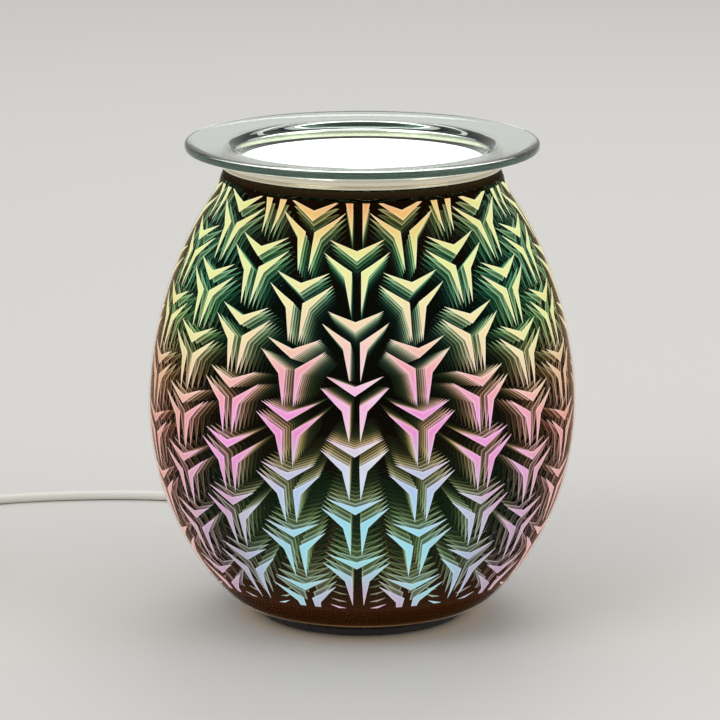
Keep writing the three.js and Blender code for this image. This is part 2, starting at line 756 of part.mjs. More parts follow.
function buildHolder() {
  const outline = roundedOutline(holderLength, holderDepth, 4);
  const shoulder = holderScrewOffset - holderScrewHeadRadius - 1;
  const body = plainSlab(outline, holderBottom, holderTop, 4);
  const ears = [-1, 1].map((side) => block(holderLength, holderDepth + 2, holderBottom + 6, holderTop + 1,
    side * (shoulder + holderLength / 2), 0));
  const narrow = pinShaftRadius + slotClearance;
  const wide = pinHeadRadius + slotClearance;
  const chamberTop = holderTop - slotLedge;
  const chamberBottom = chamberTop - pinHeadHeight - 2;
  const slots = [0, 180].flatMap((half) => {
    const unlocked = THREE.MathUtils.degToRad(half + lampTurn);
    const [x, y] = [pinRing * Math.cos(unlocked), pinRing * Math.sin(unlocked)];
    return [
      arcSlot(narrow, half, half + lampTurn, chamberTop - 0.5, holderTop + 1),
      arcSlot(wide, half, half + lampTurn, chamberBottom, chamberTop),
      rod(wide, chamberTop - 0.5, holderTop + 1, x, y, 12),
    ];
  });
  const screwHoles = [-1, 1].map((side) => rod(
    holderScrewRadius + seatGap, holderBottom - 1, holderBottom + 7, side * holderScrewOffset, 0, 12));
  add('lamp_holder', cut(body, ...ears, ...slots, ...screwHoles), finishes.ceramic);
  [-1, 1].forEach((side, i) => {
    const seat = holderBottom + 6 + packingGap;
    add(`holder_screw_${i + 1}`, join(
      rod(holderScrewHeadRadius, seat, seat + 1.6, 0, 0, 12),
      rod(holderScrewRadius, bracketTop - bracketThickness - 2, seat + 0.5, 0, 0, 8)),
    finishes.steel, side * holderScrewOffset, 0, 0);
  });
}

function buildLamp() {
  const baseTop = lampBottom + lampBaseHeight;
  const bore = capsuleRadius + seatGap;
  add('lamp_base', turned([
    [0, lampBottom],
    [pinRing + pinHeadRadius + 1, lampBottom],
    [lampBaseRadius - 1, lampBottom + 2],
    [lampBaseRadius, lampBottom + 5],
    [lampBaseRadius, baseTop],
    [bore, baseTop],
    [bore, baseTop - 4],
    [0, baseTop - 4],
  ], 28), finishes.ceramic);
  [1, -1].forEach((side, i) => {
    const headTop = holderTop - slotLedge - seatGap;
    add(`lamp_pin_${i + 1}`, join(
      rod(pinHeadRadius, headTop - pinHeadHeight, headTop, 0, 0, 16),
      rod(pinShaftRadius, headTop - 0.5, lampBottom - packingGap, 0, 0, 12)),
    finishes.brass, side * pinRing, 0, 0);
  });
  const dishBottom = baseTop + seatGap;
  const rimBottom = lampTop - reflectorRimHeight;
  const throat = capsuleRadius + 1.2;
  // A parabola from the throat to the rim
  const bowl = (radius, lift) => Array.from({ length: 6 }, (_, i) => {
    const share = i / 5;
    return [throat + lift + (radius - throat - lift) * Math.sqrt(share),
      dishBottom + (rimBottom - dishBottom) * share];
  });
  add('lamp_reflector', turned([
    ...bowl(reflectorRadius, 4.5),
    [reflectorRadius, lampTop],
    [reflectorRadius - reflectorWall, lampTop],
    [reflectorRadius - reflectorWall, rimBottom + 1],
    ...bowl(reflectorRadius - 2 * reflectorWall, 0).map(([r, z]) => [r, z + reflectorWall]).reverse(),
    [throat, dishBottom],
  ], 24), finishes.reflector);
  const glassTop = lampTop - 0.4;
  add('lamp_front_glass', rod(reflectorRadius - reflectorWall - packingGap, glassTop - frontGlassThickness,
    glassTop, 0, 0, 24), finishes.clearGlass);
  const capsuleBottom = baseTop - 4 + seatGap;
  add('lamp_capsule', turned([
    [0, capsuleBottom],
    [capsuleRadius, capsuleBottom],
    [capsuleRadius, capsuleBottom + capsuleLength - 4],
    [capsuleRadius * 0.75, capsuleBottom + capsuleLength - 1.6],
    [1, capsuleBottom + capsuleLength],
    [0, capsuleBottom + capsuleLength],
  ], 16), finishes.clearGlass);
}

// Inline dimmer

function taperedRelief(length, rootRadius, tipRadius, squash) {
  const rings = 3;
  const profile = [[0, 0], [rootRadius, 0]];
  for (let i = 1; i < rings; i++) {
    const radius = rootRadius + (tipRadius - rootRadius) * i / rings;
    const along = length * i / rings;
    profile.push([radius + 0.25, along - 0.9], [radius - 0.25, along - 0.7], [radius - 0.25, along + 0.3],
      [radius + 0.2, along + 0.5]);
  }
  profile.push([tipRadius, length], [0, length]);
  // The profile's height turns to run along +Y
  return turned(profile, 10).rotateX(-Math.PI / 2).scale(1, 1, squash);
}

function buildDimmer() {
  const [cx, cy] = dimmerCentre.toArray();
  const bottom = seatGap;
  const middle = bottom + dimmerHeight / 2;
  const wheelOffset = dimmerWidth / 2 - wheelRadius + wheelReach;
  const slab = softSlab(dimmerWidth, dimmerLength, dimmerHeight, dimmerCornerRadius, dimmerBevel);
  const hollow = softSlab(dimmerWidth - 2 * dimmerWall, dimmerLength - 2 * dimmerWall,
    dimmerHeight - 2 * dimmerWall, dimmerCornerRadius - dimmerWall, dimmerBevel / 2, 1)
    .translate(0, 0, dimmerWall);
  const casing = cut(slab, hollow).translate(0, 0, bottom);
  const split = seatGap / 2;
  const wide = dimmerWidth + 10;
  const long = dimmerLength + 10;
  const lowerHalf = block(wide, long, bottom - 5, middle - split);
  const upperHalf = block(wide, long, middle + split, bottom + dimmerHeight + 5);
  const wheelWell = rod(wheelRadius + runningGap, middle - wheelThickness / 2 - runningGap,
    middle + wheelThickness / 2 + runningGap, wheelOffset, 0, 40);
  const screwPlaces = [-1, 1].map((end) => end * dimmerScrewOffset);
  const postRadius = dimmerScrewRadius + 2;
  const post = (from, to, y, radius) => rod(radius, from, to, 0, y, 12);
  const lowerPosts = screwPlaces.map((y) => post(bottom + 1, middle - split, y, postRadius));
  const upperPosts = screwPlaces.map((y) => post(middle + split, bottom + dimmerHeight - 1, y, postRadius));
  const lowerHoles = screwPlaces.flatMap((y) => [
    post(bottom - 1, middle + 1, y, dimmerScrewRadius + seatGap),
    post(bottom - 1, bottom + 2.6, y, dimmerScrewRadius + 1.4),
  ]);
  const upperHoles = screwPlaces.map((y) => post(middle - 1, bottom + dimmerHeight - 4, y,
    dimmerScrewRadius + packingGap));
  const spindlePost = rod(spindleRadius, bottom + 1, middle + wheelThickness / 2 - 0.4, wheelOffset, 0, 16);
  const welled = cut(common(casing, lowerHalf), wheelWell);
  const lower = cut(join(welled, spindlePost, ...lowerPosts), ...lowerHoles);
  const upper = cut(join(common(casing, upperHalf), ...upperPosts), wheelWell, ...upperHoles);
  add('dimmer_lower_shell', lower, finishes.whitePlastic, cx, cy, 0);
  add('dimmer_upper_shell', upper, finishes.whitePlastic, cx, cy, 0);

  const wheelOutline = new THREE.Shape(Array.from({ length: wheelRidges * 2 }, (_, i) => {
    const radius = wheelRadius - (i % 2) * wheelRidgeDepth;
    const angle = i * Math.PI / wheelRidges;
    return new THREE.Vector2(radius * Math.cos(angle), radius * Math.sin(angle));
  }));
  const wheel = cut(
    plainSlab(wheelOutline, middle - wheelThickness / 2, middle + wheelThickness / 2),
    rod(spindleRadius + runningGap, middle - wheelThickness, middle + wheelThickness, 0, 0, 20));
  add('dimmer_wheel', wheel, finishes.blackPlastic, cx + wheelOffset, cy, 0);

  const boardBottom = bottom + dimmerWall + seatGap;
  const board = block(boardWidth, boardDepth, boardBottom, boardBottom + boardThickness, 0, -boardOffset);
  add('dimmer_board', board, finishes.board, cx, cy, 0);

  screwPlaces.forEach((y, i) => {
    add(`dimmer_screw_${i + 1}`, join(
      rod(dimmerScrewRadius + 1, bottom + 1, bottom + 2.4, 0, 0, 14),
      rod(dimmerScrewRadius, bottom + 2, bottom + dimmerHeight - 6, 0, 0, 10)),
    finishes.steel, cx, cy + y, 0);
  });

  const squash = 0.92;
  const root = dimmerLength / 2 + seatGap;
  const relief = taperedRelief(reliefLength, reliefRootRadius, reliefTipRadius, squash);
  add('dimmer_inlet_relief', relief, finishes.whitePlastic, cx, cy + root, dimmerCordHeight);
  add('dimmer_outlet_relief', relief.clone().rotateZ(Math.PI), finishes.whitePlastic, cx, cy - root,
    dimmerCordHeight);
}

// Free flex: a flat twin section that stays level along its route

const exitPoint = new THREE.Vector3(0, flangeRadius + seatGap, cordCentreHeight);
const reliefReach = dimmerLength / 2 + seatGap + reliefLength + seatGap;
const layerRise = cordThickness + cordLayerGap;
const coilPitch = cordWidth + cordLoopGap;
const straightRun = cordWidth;

const routeToDimmer = [
  exitPoint.toArray(),
  [0, 58, cordCentreHeight],
  [-4, 86, cordCentreHeight],
  [-19, 112, cordCentreHeight],
  [-44, 131, cordCentreHeight],
  [-76, 141, cordCentreHeight],
  [-108, 141.5, cordCentreHeight],
  [-137, 136, cordCentreHeight],
  [-156, 126, cordCentreHeight + 0.7],
  [-164, 112, dimmerCordHeight - 0.5],
  [dimmerCentre.x, dimmerCentre.y + reliefReach, dimmerCordHeight],
];
const coilStart = [coilCentre.x + coilRadius, coilCentre.y, cordCentreHeight];
const coilEnd = [coilCentre.x - coilRadius, coilCentre.y, cordCentreHeight + layerRise];
const routeToCoil = [
  [dimmerCentre.x, dimmerCentre.y - reliefReach, dimmerCordHeight],
  [dimmerCentre.x, dimmerCentre.y - reliefReach - 7, dimmerCordHeight - 0.8],
  [coilStart[0], coilStart[1] + straightRun + 12, cordCentreHeight + 0.8],
  [coilStart[0], coilStart[1] + straightRun + seatGap, cordCentreHeight],
];
const plugFace = plugCentre.y - plugLength / 2 - seatGap - plugReliefLength - seatGap;
const routeToPlug = [
  [coilEnd[0], coilEnd[1] + straightRun + seatGap, coilEnd[2]],
  [coilEnd[0], coilEnd[1] + straightRun + 8, coilEnd[2] + 0.4],
  [plugCentre.x, plugFace - 8, plugCordHeight - 0.4],
  [plugCentre.x, plugFace, plugCordHeight],
];

// The section's wide side lies level where a route starts level, and is turned where it starts on a slope
function flexAlong(route, steps, sloped = false) {
  const path = curveThrough(route);
  const section = new THREE.Shape(flatSection(8).map(([high, wide]) => (
    sloped ? new THREE.Vector2(wide, high) : new THREE.Vector2(high, wide))));
  return new THREE.ExtrudeGeometry(section, { extrudePath: path, steps, bevelEnabled: false });
}

// The coil's centreline: in on the table, up a layer where it turns back, and out again on top
function coilPoints() {
  const steps = coilTurns * coilStepsPerTurn;
  const middle = coilTurns / 2;
  const points = [new THREE.Vector3(coilStart[0], coilStart[1] + straightRun, coilStart[2])];
  for (let i = 0; i <= steps; i++) {
    const turn = i / coilStepsPerTurn;
    const fromMiddle = turn - middle;
    const radius = coilRadius - coilPitch * (middle - Math.abs(fromMiddle));
    const lift = THREE.MathUtils.smoothstep(fromMiddle, -0.25, 0.25);
    const angle = -turn * 2 * Math.PI;
    points.push(new THREE.Vector3(
      coilCentre.x + radius * Math.cos(angle),
      coilCentre.y + radius * Math.sin(angle),
      coilStart[2] + layerRise * lift));
  }
  points.push(new THREE.Vector3(coilEnd[0], coilEnd[1] + straightRun, coilEnd[2]));
  return points;
}

// Sweeps the flat section through points with its thin side kept upright
function levelSweep(points, section) {
  const count = section.length;
  const positions = [];
  const up = new THREE.Vector3(0, 0, 1);
  points.forEach((point, i) => {
    const before = points[Math.max(i - 1, 0)];
    const after = points[Math.min(i + 1, points.length - 1)];
    const along = after.clone().sub(before).normalize();
    const across = along.clone().cross(up).normalize();
    const lift = across.clone().cross(along);
    section.forEach(([high, wide]) => {
      positions.push(...point.clone().addScaledVector(across, wide).addScaledVector(lift, high).toArray());
    });
  });
  const index = [];
  for (let i = 0; i < points.length - 1; i++) {
    for (let k = 0; k < count; k++) {
      const [a, b] = [i * count + k, i * count + (k + 1) % count];
      index.push(a, b, a + count, b, b + count, a + count);
    }
  }
  for (let k = 1; k < count - 1; k++) {
    const last = (points.length - 1) * count;
    index.push(0, k + 1, k, last, last + k, last + k + 1);
  }
  const geometry = new THREE.BufferGeometry();
  geometry.setAttribute('position', new THREE.Float32BufferAttribute(positions, 3));
  geometry.setIndex(index);
  return geometry;
}

// The least gap between surface points of turns that are not neighbours along the flex
function leastGap(points) {
  const dense = [];
  points.slice(0, -1).forEach((point, i) => {
    for (let k = 0; k < 4; k++) {
      dense.push(point.clone().lerp(points[i + 1], k / 4));
    }
  });
  const core = (cordWidth - cordThickness) / 2;
  let least = Infinity;
  const apart = coilStepsPerTurn * 2;
  for (let i = 0; i < dense.length; i++) {
    for (let j = i + apart; j < dense.length; j++) {
      const flat = Math.hypot(dense[i].x - dense[j].x, dense[i].y - dense[j].y);
      const side = Math.max(flat - 2 * core, 0);
      const rise = dense[i].z - dense[j].z;
      least = Math.min(least, Math.hypot(side, rise) - cordThickness);
    }
  }
  return least;
}

function buildFlex() {
  add('cord_to_dimmer', flexAlong(routeToDimmer, 36), finishes.whiteFlex);
  add('cord_to_coil', flexAlong(routeToCoil, 6, true), finishes.whiteFlex);
  const points = coilPoints();
  const section = flatSection(6);
  console.log(`cord_coil: least gap to itself ${leastGap(points).toFixed(2)} mm`);
  add('cord_coil', levelSweep(points, section), finishes.whiteFlex);
  add('cord_to_plug', flexAlong(routeToPlug, 6, true), finishes.whiteFlex);
}

// Plug

function buildPlug() {
  const [cx, cy] = plugCentre.toArray();
  const bottom = seatGap;
  const top = bottom + plugHeight;
  const body = softSlab(plugWidth, plugLength, plugHeight, plugCornerRadius, plugBevel)
    .translate(0, 0, bottom);
  // The face narrows towards the flex, as a hand-sized grip does
  const grips = [-1, 1].map((side) => rod(gripRadius, bottom - 2, top + 2,
    side * (plugWidth / 2 + gripRadius - gripDepth), gripShift - plugLength / 2, 24));
  const earthPlace = [0, pinShift + pinSpacing / 2];
  const linePlaces = [-1, 1].map((side) => [side * pinSpacing / 2, pinShift - pinSpacing / 2]);
  const pinWell = (place, size) => block(
    size.width + 2 * packingGap, size.depth + 2 * packingGap, top - pinSeatDepth, top + 1, ...place);
  const wells = [pinWell(earthPlace, earthPin), ...linePlaces.map((place) => pinWell(place, linePin))];
  const carrierWidth = 2 * (fuseRadius + fuseCarrierWall);
  const carrierLength = fuseLength + 2 * fuseCarrierEnd;
  const carrierBottom = top - 2 * fuseRadius - fuseCarrierFront;
  const carrierCentre = fuseCarrierShift - pinSpacing / 2;
  const carrierWell = block(carrierWidth + 2 * seatGap, carrierLength + 2 * seatGap,
    carrierBottom - seatGap, top + 1, 0, carrierCentre);
  add('plug_body', cut(body, ...grips, ...wells, carrierWell), finishes.whitePlastic, cx, cy, 0);
  const pin = (size) => {
    const shaft = block(size.width, size.depth, top - pinSeatDepth + packingGap, top + size.height - 1);
    const tip = new THREE.CylinderGeometry(0.6, Math.SQRT1_2, 1, 4).rotateY(Math.PI / 4).rotateX(Math.PI / 2)
      .scale(size.width, size.depth, 1).translate(0, 0, top + size.height - 0.5);
    return join(shaft, tip);
  };
  add('plug_pin_earth', pin(earthPin), finishes.brass, cx + earthPlace[0], cy + earthPlace[1], 0);
  add('plug_pin_live', pin(linePin), finishes.brass, cx + linePlaces[1][0], cy + linePlaces[1][1], 0);
  add('plug_pin_neutral', pin(linePin), finishes.brass, cx + linePlaces[0][0], cy + linePlaces[0][1], 0);

  const carrierY = cy + carrierCentre;
  const carrier = block(carrierWidth, carrierLength, carrierBottom, top - packingGap);
  const fuseBed = block(2 * (fuseRadius + packingGap), fuseLength + 2 * packingGap, carrierBottom - 1,
    carrierBottom + 2 * (fuseRadius + packingGap));
  add('fuse_carrier', cut(carrier, fuseBed), finishes.whitePlastic, cx, carrierY, 0);
  const fuse = new THREE.CylinderGeometry(fuseRadius, fuseRadius, fuseLength, 16)
    .translate(0, 0, carrierBottom + fuseRadius);
  add('plug_fuse', fuse, finishes.ceramic, cx, carrierY, 0);

  const root = plugLength / 2 + seatGap;
  add('plug_relief', taperedRelief(plugReliefLength, plugReliefRoot, plugReliefTip, 1).rotateZ(Math.PI),
    finishes.whitePlastic, cx, cy - root, plugCordHeight);
}

buildShade();
buildCollar();
buildDish();
buildBase();
buildWiring();
buildBracket();
buildHolder();
buildLamp();
buildDimmer();
buildFlex();
buildPlug();

export default burner;
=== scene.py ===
import math
import bmesh
import bpy
import numpy as np
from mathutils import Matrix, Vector


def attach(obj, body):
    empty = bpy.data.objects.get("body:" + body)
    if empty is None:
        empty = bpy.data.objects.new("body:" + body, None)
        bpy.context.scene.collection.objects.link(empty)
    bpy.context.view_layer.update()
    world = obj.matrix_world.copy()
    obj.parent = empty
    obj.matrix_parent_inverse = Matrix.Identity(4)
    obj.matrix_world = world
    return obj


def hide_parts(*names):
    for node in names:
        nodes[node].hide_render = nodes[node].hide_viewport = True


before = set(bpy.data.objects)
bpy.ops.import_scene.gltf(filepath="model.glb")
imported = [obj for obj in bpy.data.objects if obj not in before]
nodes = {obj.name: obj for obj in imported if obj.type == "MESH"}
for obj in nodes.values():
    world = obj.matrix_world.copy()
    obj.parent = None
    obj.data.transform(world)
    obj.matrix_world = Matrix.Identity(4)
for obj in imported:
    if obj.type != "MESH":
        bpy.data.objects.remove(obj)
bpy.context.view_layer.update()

mm = 0.001


# Meshes

# A radius below this counts as on the axis
onAxis = 1e-6


def newObject(name, data):
    made = bpy.data.objects.new(name, data)
    bpy.context.scene.collection.objects.link(made)
    return made


def newPiece(name, points, faces, body, materials, replaces=(), sharpAngle=40,
             faceMaterials=None):
    mesh = bpy.data.meshes.new(name)
    mesh.from_pydata([tuple(float(c) * mm for c in p) for p in points], [], faces)
    for material in materials:
        mesh.materials.append(material)
    if faceMaterials is not None:
        mesh.polygons.foreach_set("material_index", faceMaterials)
    mesh.polygons.foreach_set("use_smooth", [True] * len(mesh.polygons))
    mesh.validate()
    mesh.set_sharp_from_angle(angle=math.radians(sharpAngle))
    piece = newObject(name, mesh)
    turnOutward(piece)
    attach(piece, body)
    if replaces:
        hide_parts(*replaces)
    return piece


def turnOutward(piece):
    bm = bmesh.new()
    bm.from_mesh(piece.data)
    bmesh.ops.recalc_face_normals(bm, faces=bm.faces)
    bm.to_mesh(piece.data)
    bm.free()


# A closed profile of (radius, height) turned about Z. Points on the axis become one vertex.
def turned(profile, segments):
    points, rings = [], []
    for radius, height in profile:
        if radius < onAxis:
            rings.append([len(points)])
            points.append((0, 0, height))
            continue
        rings.append(list(range(len(points), len(points) + segments)))
        for i in range(segments):
            angle = 2 * math.pi * i / segments
            points.append((radius * math.cos(angle), radius * math.sin(angle), height))
    closes = profile[0][0] > onAxis and profile[-1][0] > onAxis
    pairs = list(zip(rings, rings[1:])) + ([(rings[-1], rings[0])] if closes else [])
    faces, bands = [], []
    for band, (low, high) in enumerate(pairs):
        for i in range(segments):
            j = (i + 1) % segments
            face = [low[i % len(low)], low[j % len(low)], high[j % len(high)], high[i % len(high)]]
            faces.append(tuple(dict.fromkeys(face)))
            bands.append(band)
    return points, faces, bands


def arc(centre, radius, start, end, steps):
    angles = [math.radians(start + (end - start) * i / steps) for i in range(steps + 1)]
    return [(centre[0] + radius * math.cos(a), centre[1] + radius * math.sin(a)) for a in angles]


# Corners given as steps from one place
def cornersFrom(radius, height, steps):
    return [(radius + across, height + up) for across, up in steps]


# Puts a camera or a light in its place and points it at its target
def aim(thing, place, target, unit=1):
    place, target = Vector(place), Vector(target)
    thing.location = place * unit
    thing.rotation_euler = (target - place).to_track_quat("-Z", "Y").to_euler()


# Node helpers

def newMaterial(name, sockets):
    material = bpy.data.materials.new(name)
    material.use_nodes = True
    tree = material.node_tree
    shader = tree.nodes["Principled BSDF"]
    setSockets(shader, sockets)
    return material, tree, shader


def setSockets(node, values):
    for name, value in values.items():
        node.inputs[name].default_value = value


# A plain value is set on the socket, another socket is linked to it
def feed(tree, value, socket):
    if isinstance(value, (int, float, tuple)):
        socket.default_value = value
    else:
        tree.links.new(value, socket)


def colour(red, green, blue):
    def linear(value):
        value /= 255
        return value / 12.92 if value <= 0.04045 else ((value + 0.055) / 1.055) ** 2.4
    return (linear(red), linear(green), linear(blue), 1)


def maths(tree, operation, first, second, clamp=False):
    node = tree.nodes.new("ShaderNodeMath")
    node.operation = operation
    node.use_clamp = clamp
    feed(tree, first, node.inputs[0])
    feed(tree, second, node.inputs[1])
    return node.outputs[0]


def times(tree, first, *others):
    for other in others:
        first = maths(tree, "MULTIPLY", first, other)
    return first


def plus(tree, first, second):
    return maths(tree, "ADD", first, second)


def minus(tree, first, second):
    return maths(tree, "SUBTRACT", first, second)


# How far a value is on its way from the first limit to the second, 0 to 1
def between(tree, value, limits):
    return maths(tree, "DIVIDE", minus(tree, value, limits[0]), limits[1] - limits[0], clamp=True)


def ramp(tree, factor, stops):
    node = tree.nodes.new("ShaderNodeValToRGB")
    elements = node.color_ramp.elements
    while len(elements) < len(stops):
        elements.new(0.5)
    for element, (position, value) in zip(elements, stops):
        element.position = position
        element.color = value
    tree.links.new(factor, node.inputs["Fac"])
    return node.outputs["Color"]


# Ramp stops from rows of a height and its colour or plain value
def heightStops(rows, limits):
    bottom, top = limits
    return [((height - bottom) / (top - bottom),
             colour(*value) if isinstance(value, tuple) else (value, value, value, 1))
            for height, value in rows]


def mixColours(tree, factor, first, second, blend="MIX"):
    node = tree.nodes.new("ShaderNodeMix")
    node.data_type = "RGBA"
    node.blend_type = blend
    feed(tree, factor, node.inputs[0])
    feed(tree, first, node.inputs[6])
    feed(tree, second, node.inputs[7])
    return node.outputs[2]


def attribute(tree, name):
    node = tree.nodes.new("ShaderNodeAttribute")
    node.attribute_name = name
    return node.outputs["Fac"]


def objectPlace(tree):
    return tree.nodes.new("ShaderNodeTexCoord").outputs["Object"]


def objectAxes(tree):
    parts = tree.nodes.new("ShaderNodeSeparateXYZ")
    tree.links.new(objectPlace(tree), parts.inputs[0])
    return parts.outputs


def noise(tree, scale, detail, roughness):
    node = tree.nodes.new("ShaderNodeTexNoise")
    setSockets(node, {"Detail": detail, "Roughness": roughness})
    feed(tree, scale, node.inputs["Scale"])
    tree.links.new(objectPlace(tree), node.inputs["Vector"])
    return node.outputs["Fac"]


# A group with its inputs for use inside it and its outputs to link to
def newGroup(name, inputs, outputs):
    group = bpy.data.node_groups.new(name, "ShaderNodeTree")
    for socketName, kind, value in inputs:
        socket = group.interface.new_socket(socketName, in_out="INPUT", socket_type=kind)
        socket.default_value = value
    for socketName, kind in outputs:
        group.interface.new_socket(socketName, in_out="OUTPUT", socket_type=kind)
    start = group.nodes.new("NodeGroupInput")
    return group, start.outputs, group.nodes.new("NodeGroupOutput").inputs


def placeGroup(tree, group):
    node = tree.nodes.new("ShaderNodeGroup")
    node.node_tree = group
    return node


# Surface of every plain piece: patches of tint and smudge, fine grain, and paler convex edges

surfaceLook = {
    "patchScale": 35,
    "patchDetail": 4,
    "patchRoughness": 0.6,
    "patchMean": 0.5,
    "grainDetail": 3,
    "grainRoughness": 0.7,
    "grainHeight": 0.1,
    "edgeFrom": 0.52,
    "edgeGain": 8,
}


def buildSurfaceGroup():
    look = surfaceLook
    group, given, made = newGroup("moulded surface", [
        ("Colour", "NodeSocketColor", (0.8, 0.8, 0.8, 1)),
        ("Tint", "NodeSocketColor", (0.5, 0.5, 0.5, 1)),
        ("Tint Amount", "NodeSocketFloat", 0.1),
        ("Grain Scale", "NodeSocketFloat", 2000),
        ("Grain Depth", "NodeSocketFloat", 0.1),
        ("Roughness", "NodeSocketFloat", 0.4),
        ("Smudge", "NodeSocketFloat", 0.1),
        ("Edge Paling", "NodeSocketFloat", 0.1),
    ], [("Colour", "NodeSocketColor"), ("Roughness", "NodeSocketFloat"),
        ("Normal", "NodeSocketVector")])
    links = group.links
    patches = noise(group, look["patchScale"], look["patchDetail"], look["patchRoughness"])
    grain = noise(group, given["Grain Scale"], look["grainDetail"], look["grainRoughness"])
    patchiness = times(group, patches, given["Tint Amount"])
    tinted = mixColours(group, patchiness, given["Colour"], given["Tint"])
    edges = group.nodes.new("ShaderNodeNewGeometry").outputs["Pointiness"]
    convexEdges = maths(group, "MULTIPLY", minus(group, edges, look["edgeFrom"]), look["edgeGain"],
                 clamp=True)
    edgePaling = times(group, convexEdges, given["Edge Paling"])
    links.new(mixColours(group, edgePaling, tinted, (1, 1, 1, 1), "SCREEN"), made["Colour"])
    spread = times(group, minus(group, patches, look["patchMean"]), given["Smudge"])
    links.new(maths(group, "ADD", given["Roughness"], spread, clamp=True), made["Roughness"])
    bump = group.nodes.new("ShaderNodeBump")
    bump.inputs["Distance"].default_value = look["grainHeight"] * mm
    links.new(grain, bump.inputs["Height"])
    links.new(given["Grain Depth"], bump.inputs["Strength"])
    links.new(bump.outputs["Normal"], made["Normal"])
    return group


# Colours of the lit mirror pattern: bands by height that slip sideways round the body, and the
# dimmer, greener or browner ones of the images that stand deeper in the mirror. Lists are of
# heights in mm and values, and each pair of Sides says where a share begins and is full on the
# way from the front, 0, to the side, 1.
mirrorBands = {
    "heights": (0, 175),
    "leastRadius": 1e-9,
    "sideSlip": 35,
    "lowSlip": 1.3,
    "lowSlipBelow": 80,
    "slipFades": (108, 134),
    "slipLeast": -0.6,
    "ceilingLeast": 101,
    "ceilingFrom": 72,
    "ceilingRate": 0.9,
    "front": [
        (15, (216, 148, 182)), (22, (194, 167, 196)), (28, (170, 193, 212)), (36, (152, 220, 228)),
        (52, (156, 218, 236)), (63, (184, 208, 240)), (73, (210, 206, 226)), (83, (242, 166, 218)),
        (93, (247, 178, 232)), (103, (248, 184, 194)), (112, (251, 222, 196)),
        (123, (248, 238, 190)), (134, (240, 246, 178)), (146, (246, 208, 134)),
        (156, (238, 162, 108)),
    ],
    "sideTone": (220, 154, 108),
    "sideToneShare": 0.75,
    "sideToneSides": (0.55, 1),
    "sideToneHeights": (112, 92),
    "lowTone": (160, 147, 167),
    "lowToneShare": 0.78,
    "lowToneSides": (0.05, 0.42),
    "lowToneEndSides": (0.92, 0.6),
    "lowToneHeights": (74, 36),
    "coreDepth": 0.48,
    "coreHeights": (44, 80),
    # The white that the painted highlights go towards
    "white": (1, 0.97, 0.93, 1),
    "tipHighlight": 0.35,
    "edgeHighlight": 0.2,
    "centreWhite": 0.5,
    "centreWhiteSides": (0.03, 0.004),
    "centreWhiteTips": (-0.7, 0.6),
    "centreWhiteHeights": (50, 66),
    "centreWhiteEndHeights": (118, 104),
    "depth": [
        (12, (150, 150, 110)), (32, (128, 155, 92)), (52, (138, 160, 98)), (64, (164, 158, 98)),
        (74, (194, 166, 86)), (84, (194, 150, 86)), (93, (172, 132, 74)), (101, (148, 142, 86)),
        (110, (98, 174, 106)), (126, (40, 178, 132)), (138, (68, 176, 110)), (150, (120, 144, 74)),
    ],
    "sideDepth": [
        (12, (106, 80, 74)), (32, (104, 74, 68)), (52, (126, 72, 50)), (72, (158, 84, 34)),
        (92, (158, 110, 36)), (108, (60, 168, 74)), (124, (8, 178, 130)), (140, (26, 156, 114)),
        (156, (60, 116, 84)),
    ],
    "depthSides": (0.22, 0.8),
    "far": [
        (12, (100, 76, 54)), (40, (68, 96, 62)), (70, (84, 94, 54)), (96, (66, 88, 48)),
        (112, (24, 102, 82)), (128, (16, 82, 94)), (150, (32, 58, 84)),
    ],
    "farNumbers": (1.5, 6),
    "floorGlow": [
        (12, (40, 22, 12)), (22, (26, 28, 17)), (34, (14, 32, 17)), (52, (13, 22, 12)),
        (66, (18, 14, 9)), (84, (11, 8, 6)), (104, (8, 12, 7)), (122, (7, 12, 8)),
        (138, (11, 10, 4)), (150, (20, 9, 3)),
    ],
    "centreShare": [
        (12, 0.3), (60, 0.3), (78, 0.47), (96, 0.58), (106, 0.7), (118, 0.62), (132, 0.34),
        (156, 0.3),
    ],
    "sideShare": [(12, 0.5), (60, 0.42), (90, 0.5), (112, 0.38), (134, 0.3), (156, 0.3)],
    "centreFade": [
        (20, 0.75), (56, 0.76), (72, 0.8), (104, 0.83), (114, 0.71), (124, 0.54), (134, 0.46),
    ],
    "sideFade": [
        (20, 0.46), (60, 0.51), (76, 0.53), (90, 0.56), (114, 0.53), (132, 0.47), (146, 0.42),
    ],
    "imageSides": (0.1, 0.5),
    "fadeFrom": 0.6,
    "fadeCurve": 1.1,
    "imageGain": 1.75,
    "hollow": 0.8,
    "grainScale": 2600,
    "grainDetail": 2,
    "grainRoughness": 0.7,
    "grain": 0.16,
    "grainMean": 0.6,
}


def bandsAt(tree, key, height):
    limits = mirrorBands["heights"]
    return ramp(tree, between(tree, height, limits), heightStops(mirrorBands[key], limits))


# The height whose band shows: higher at the sides than at the front, and lower near the top
def slippedHeight(tree, height, sideways):
    look = mirrorBands
    below = maths(tree, "MAXIMUM", minus(tree, look["lowSlipBelow"], height), 0)
    reach = plus(tree, times(tree, below, look["lowSlip"]), look["sideSlip"])
    low, high = look["slipFades"]
    fades = maths(tree, "DIVIDE", minus(tree, high, height), high - low)
    fades = maths(tree, "MAXIMUM", maths(tree, "MINIMUM", fades, 1), look["slipLeast"])
    slip = times(tree, sideways, fades, reach)
    above = maths(tree, "MAXIMUM", minus(tree, height, look["ceilingFrom"]), 0)
    ceiling = plus(tree, times(tree, above, look["ceilingRate"]), look["ceilingLeast"])
    return maths(tree, "MINIMUM", plus(tree, height, slip), ceiling)
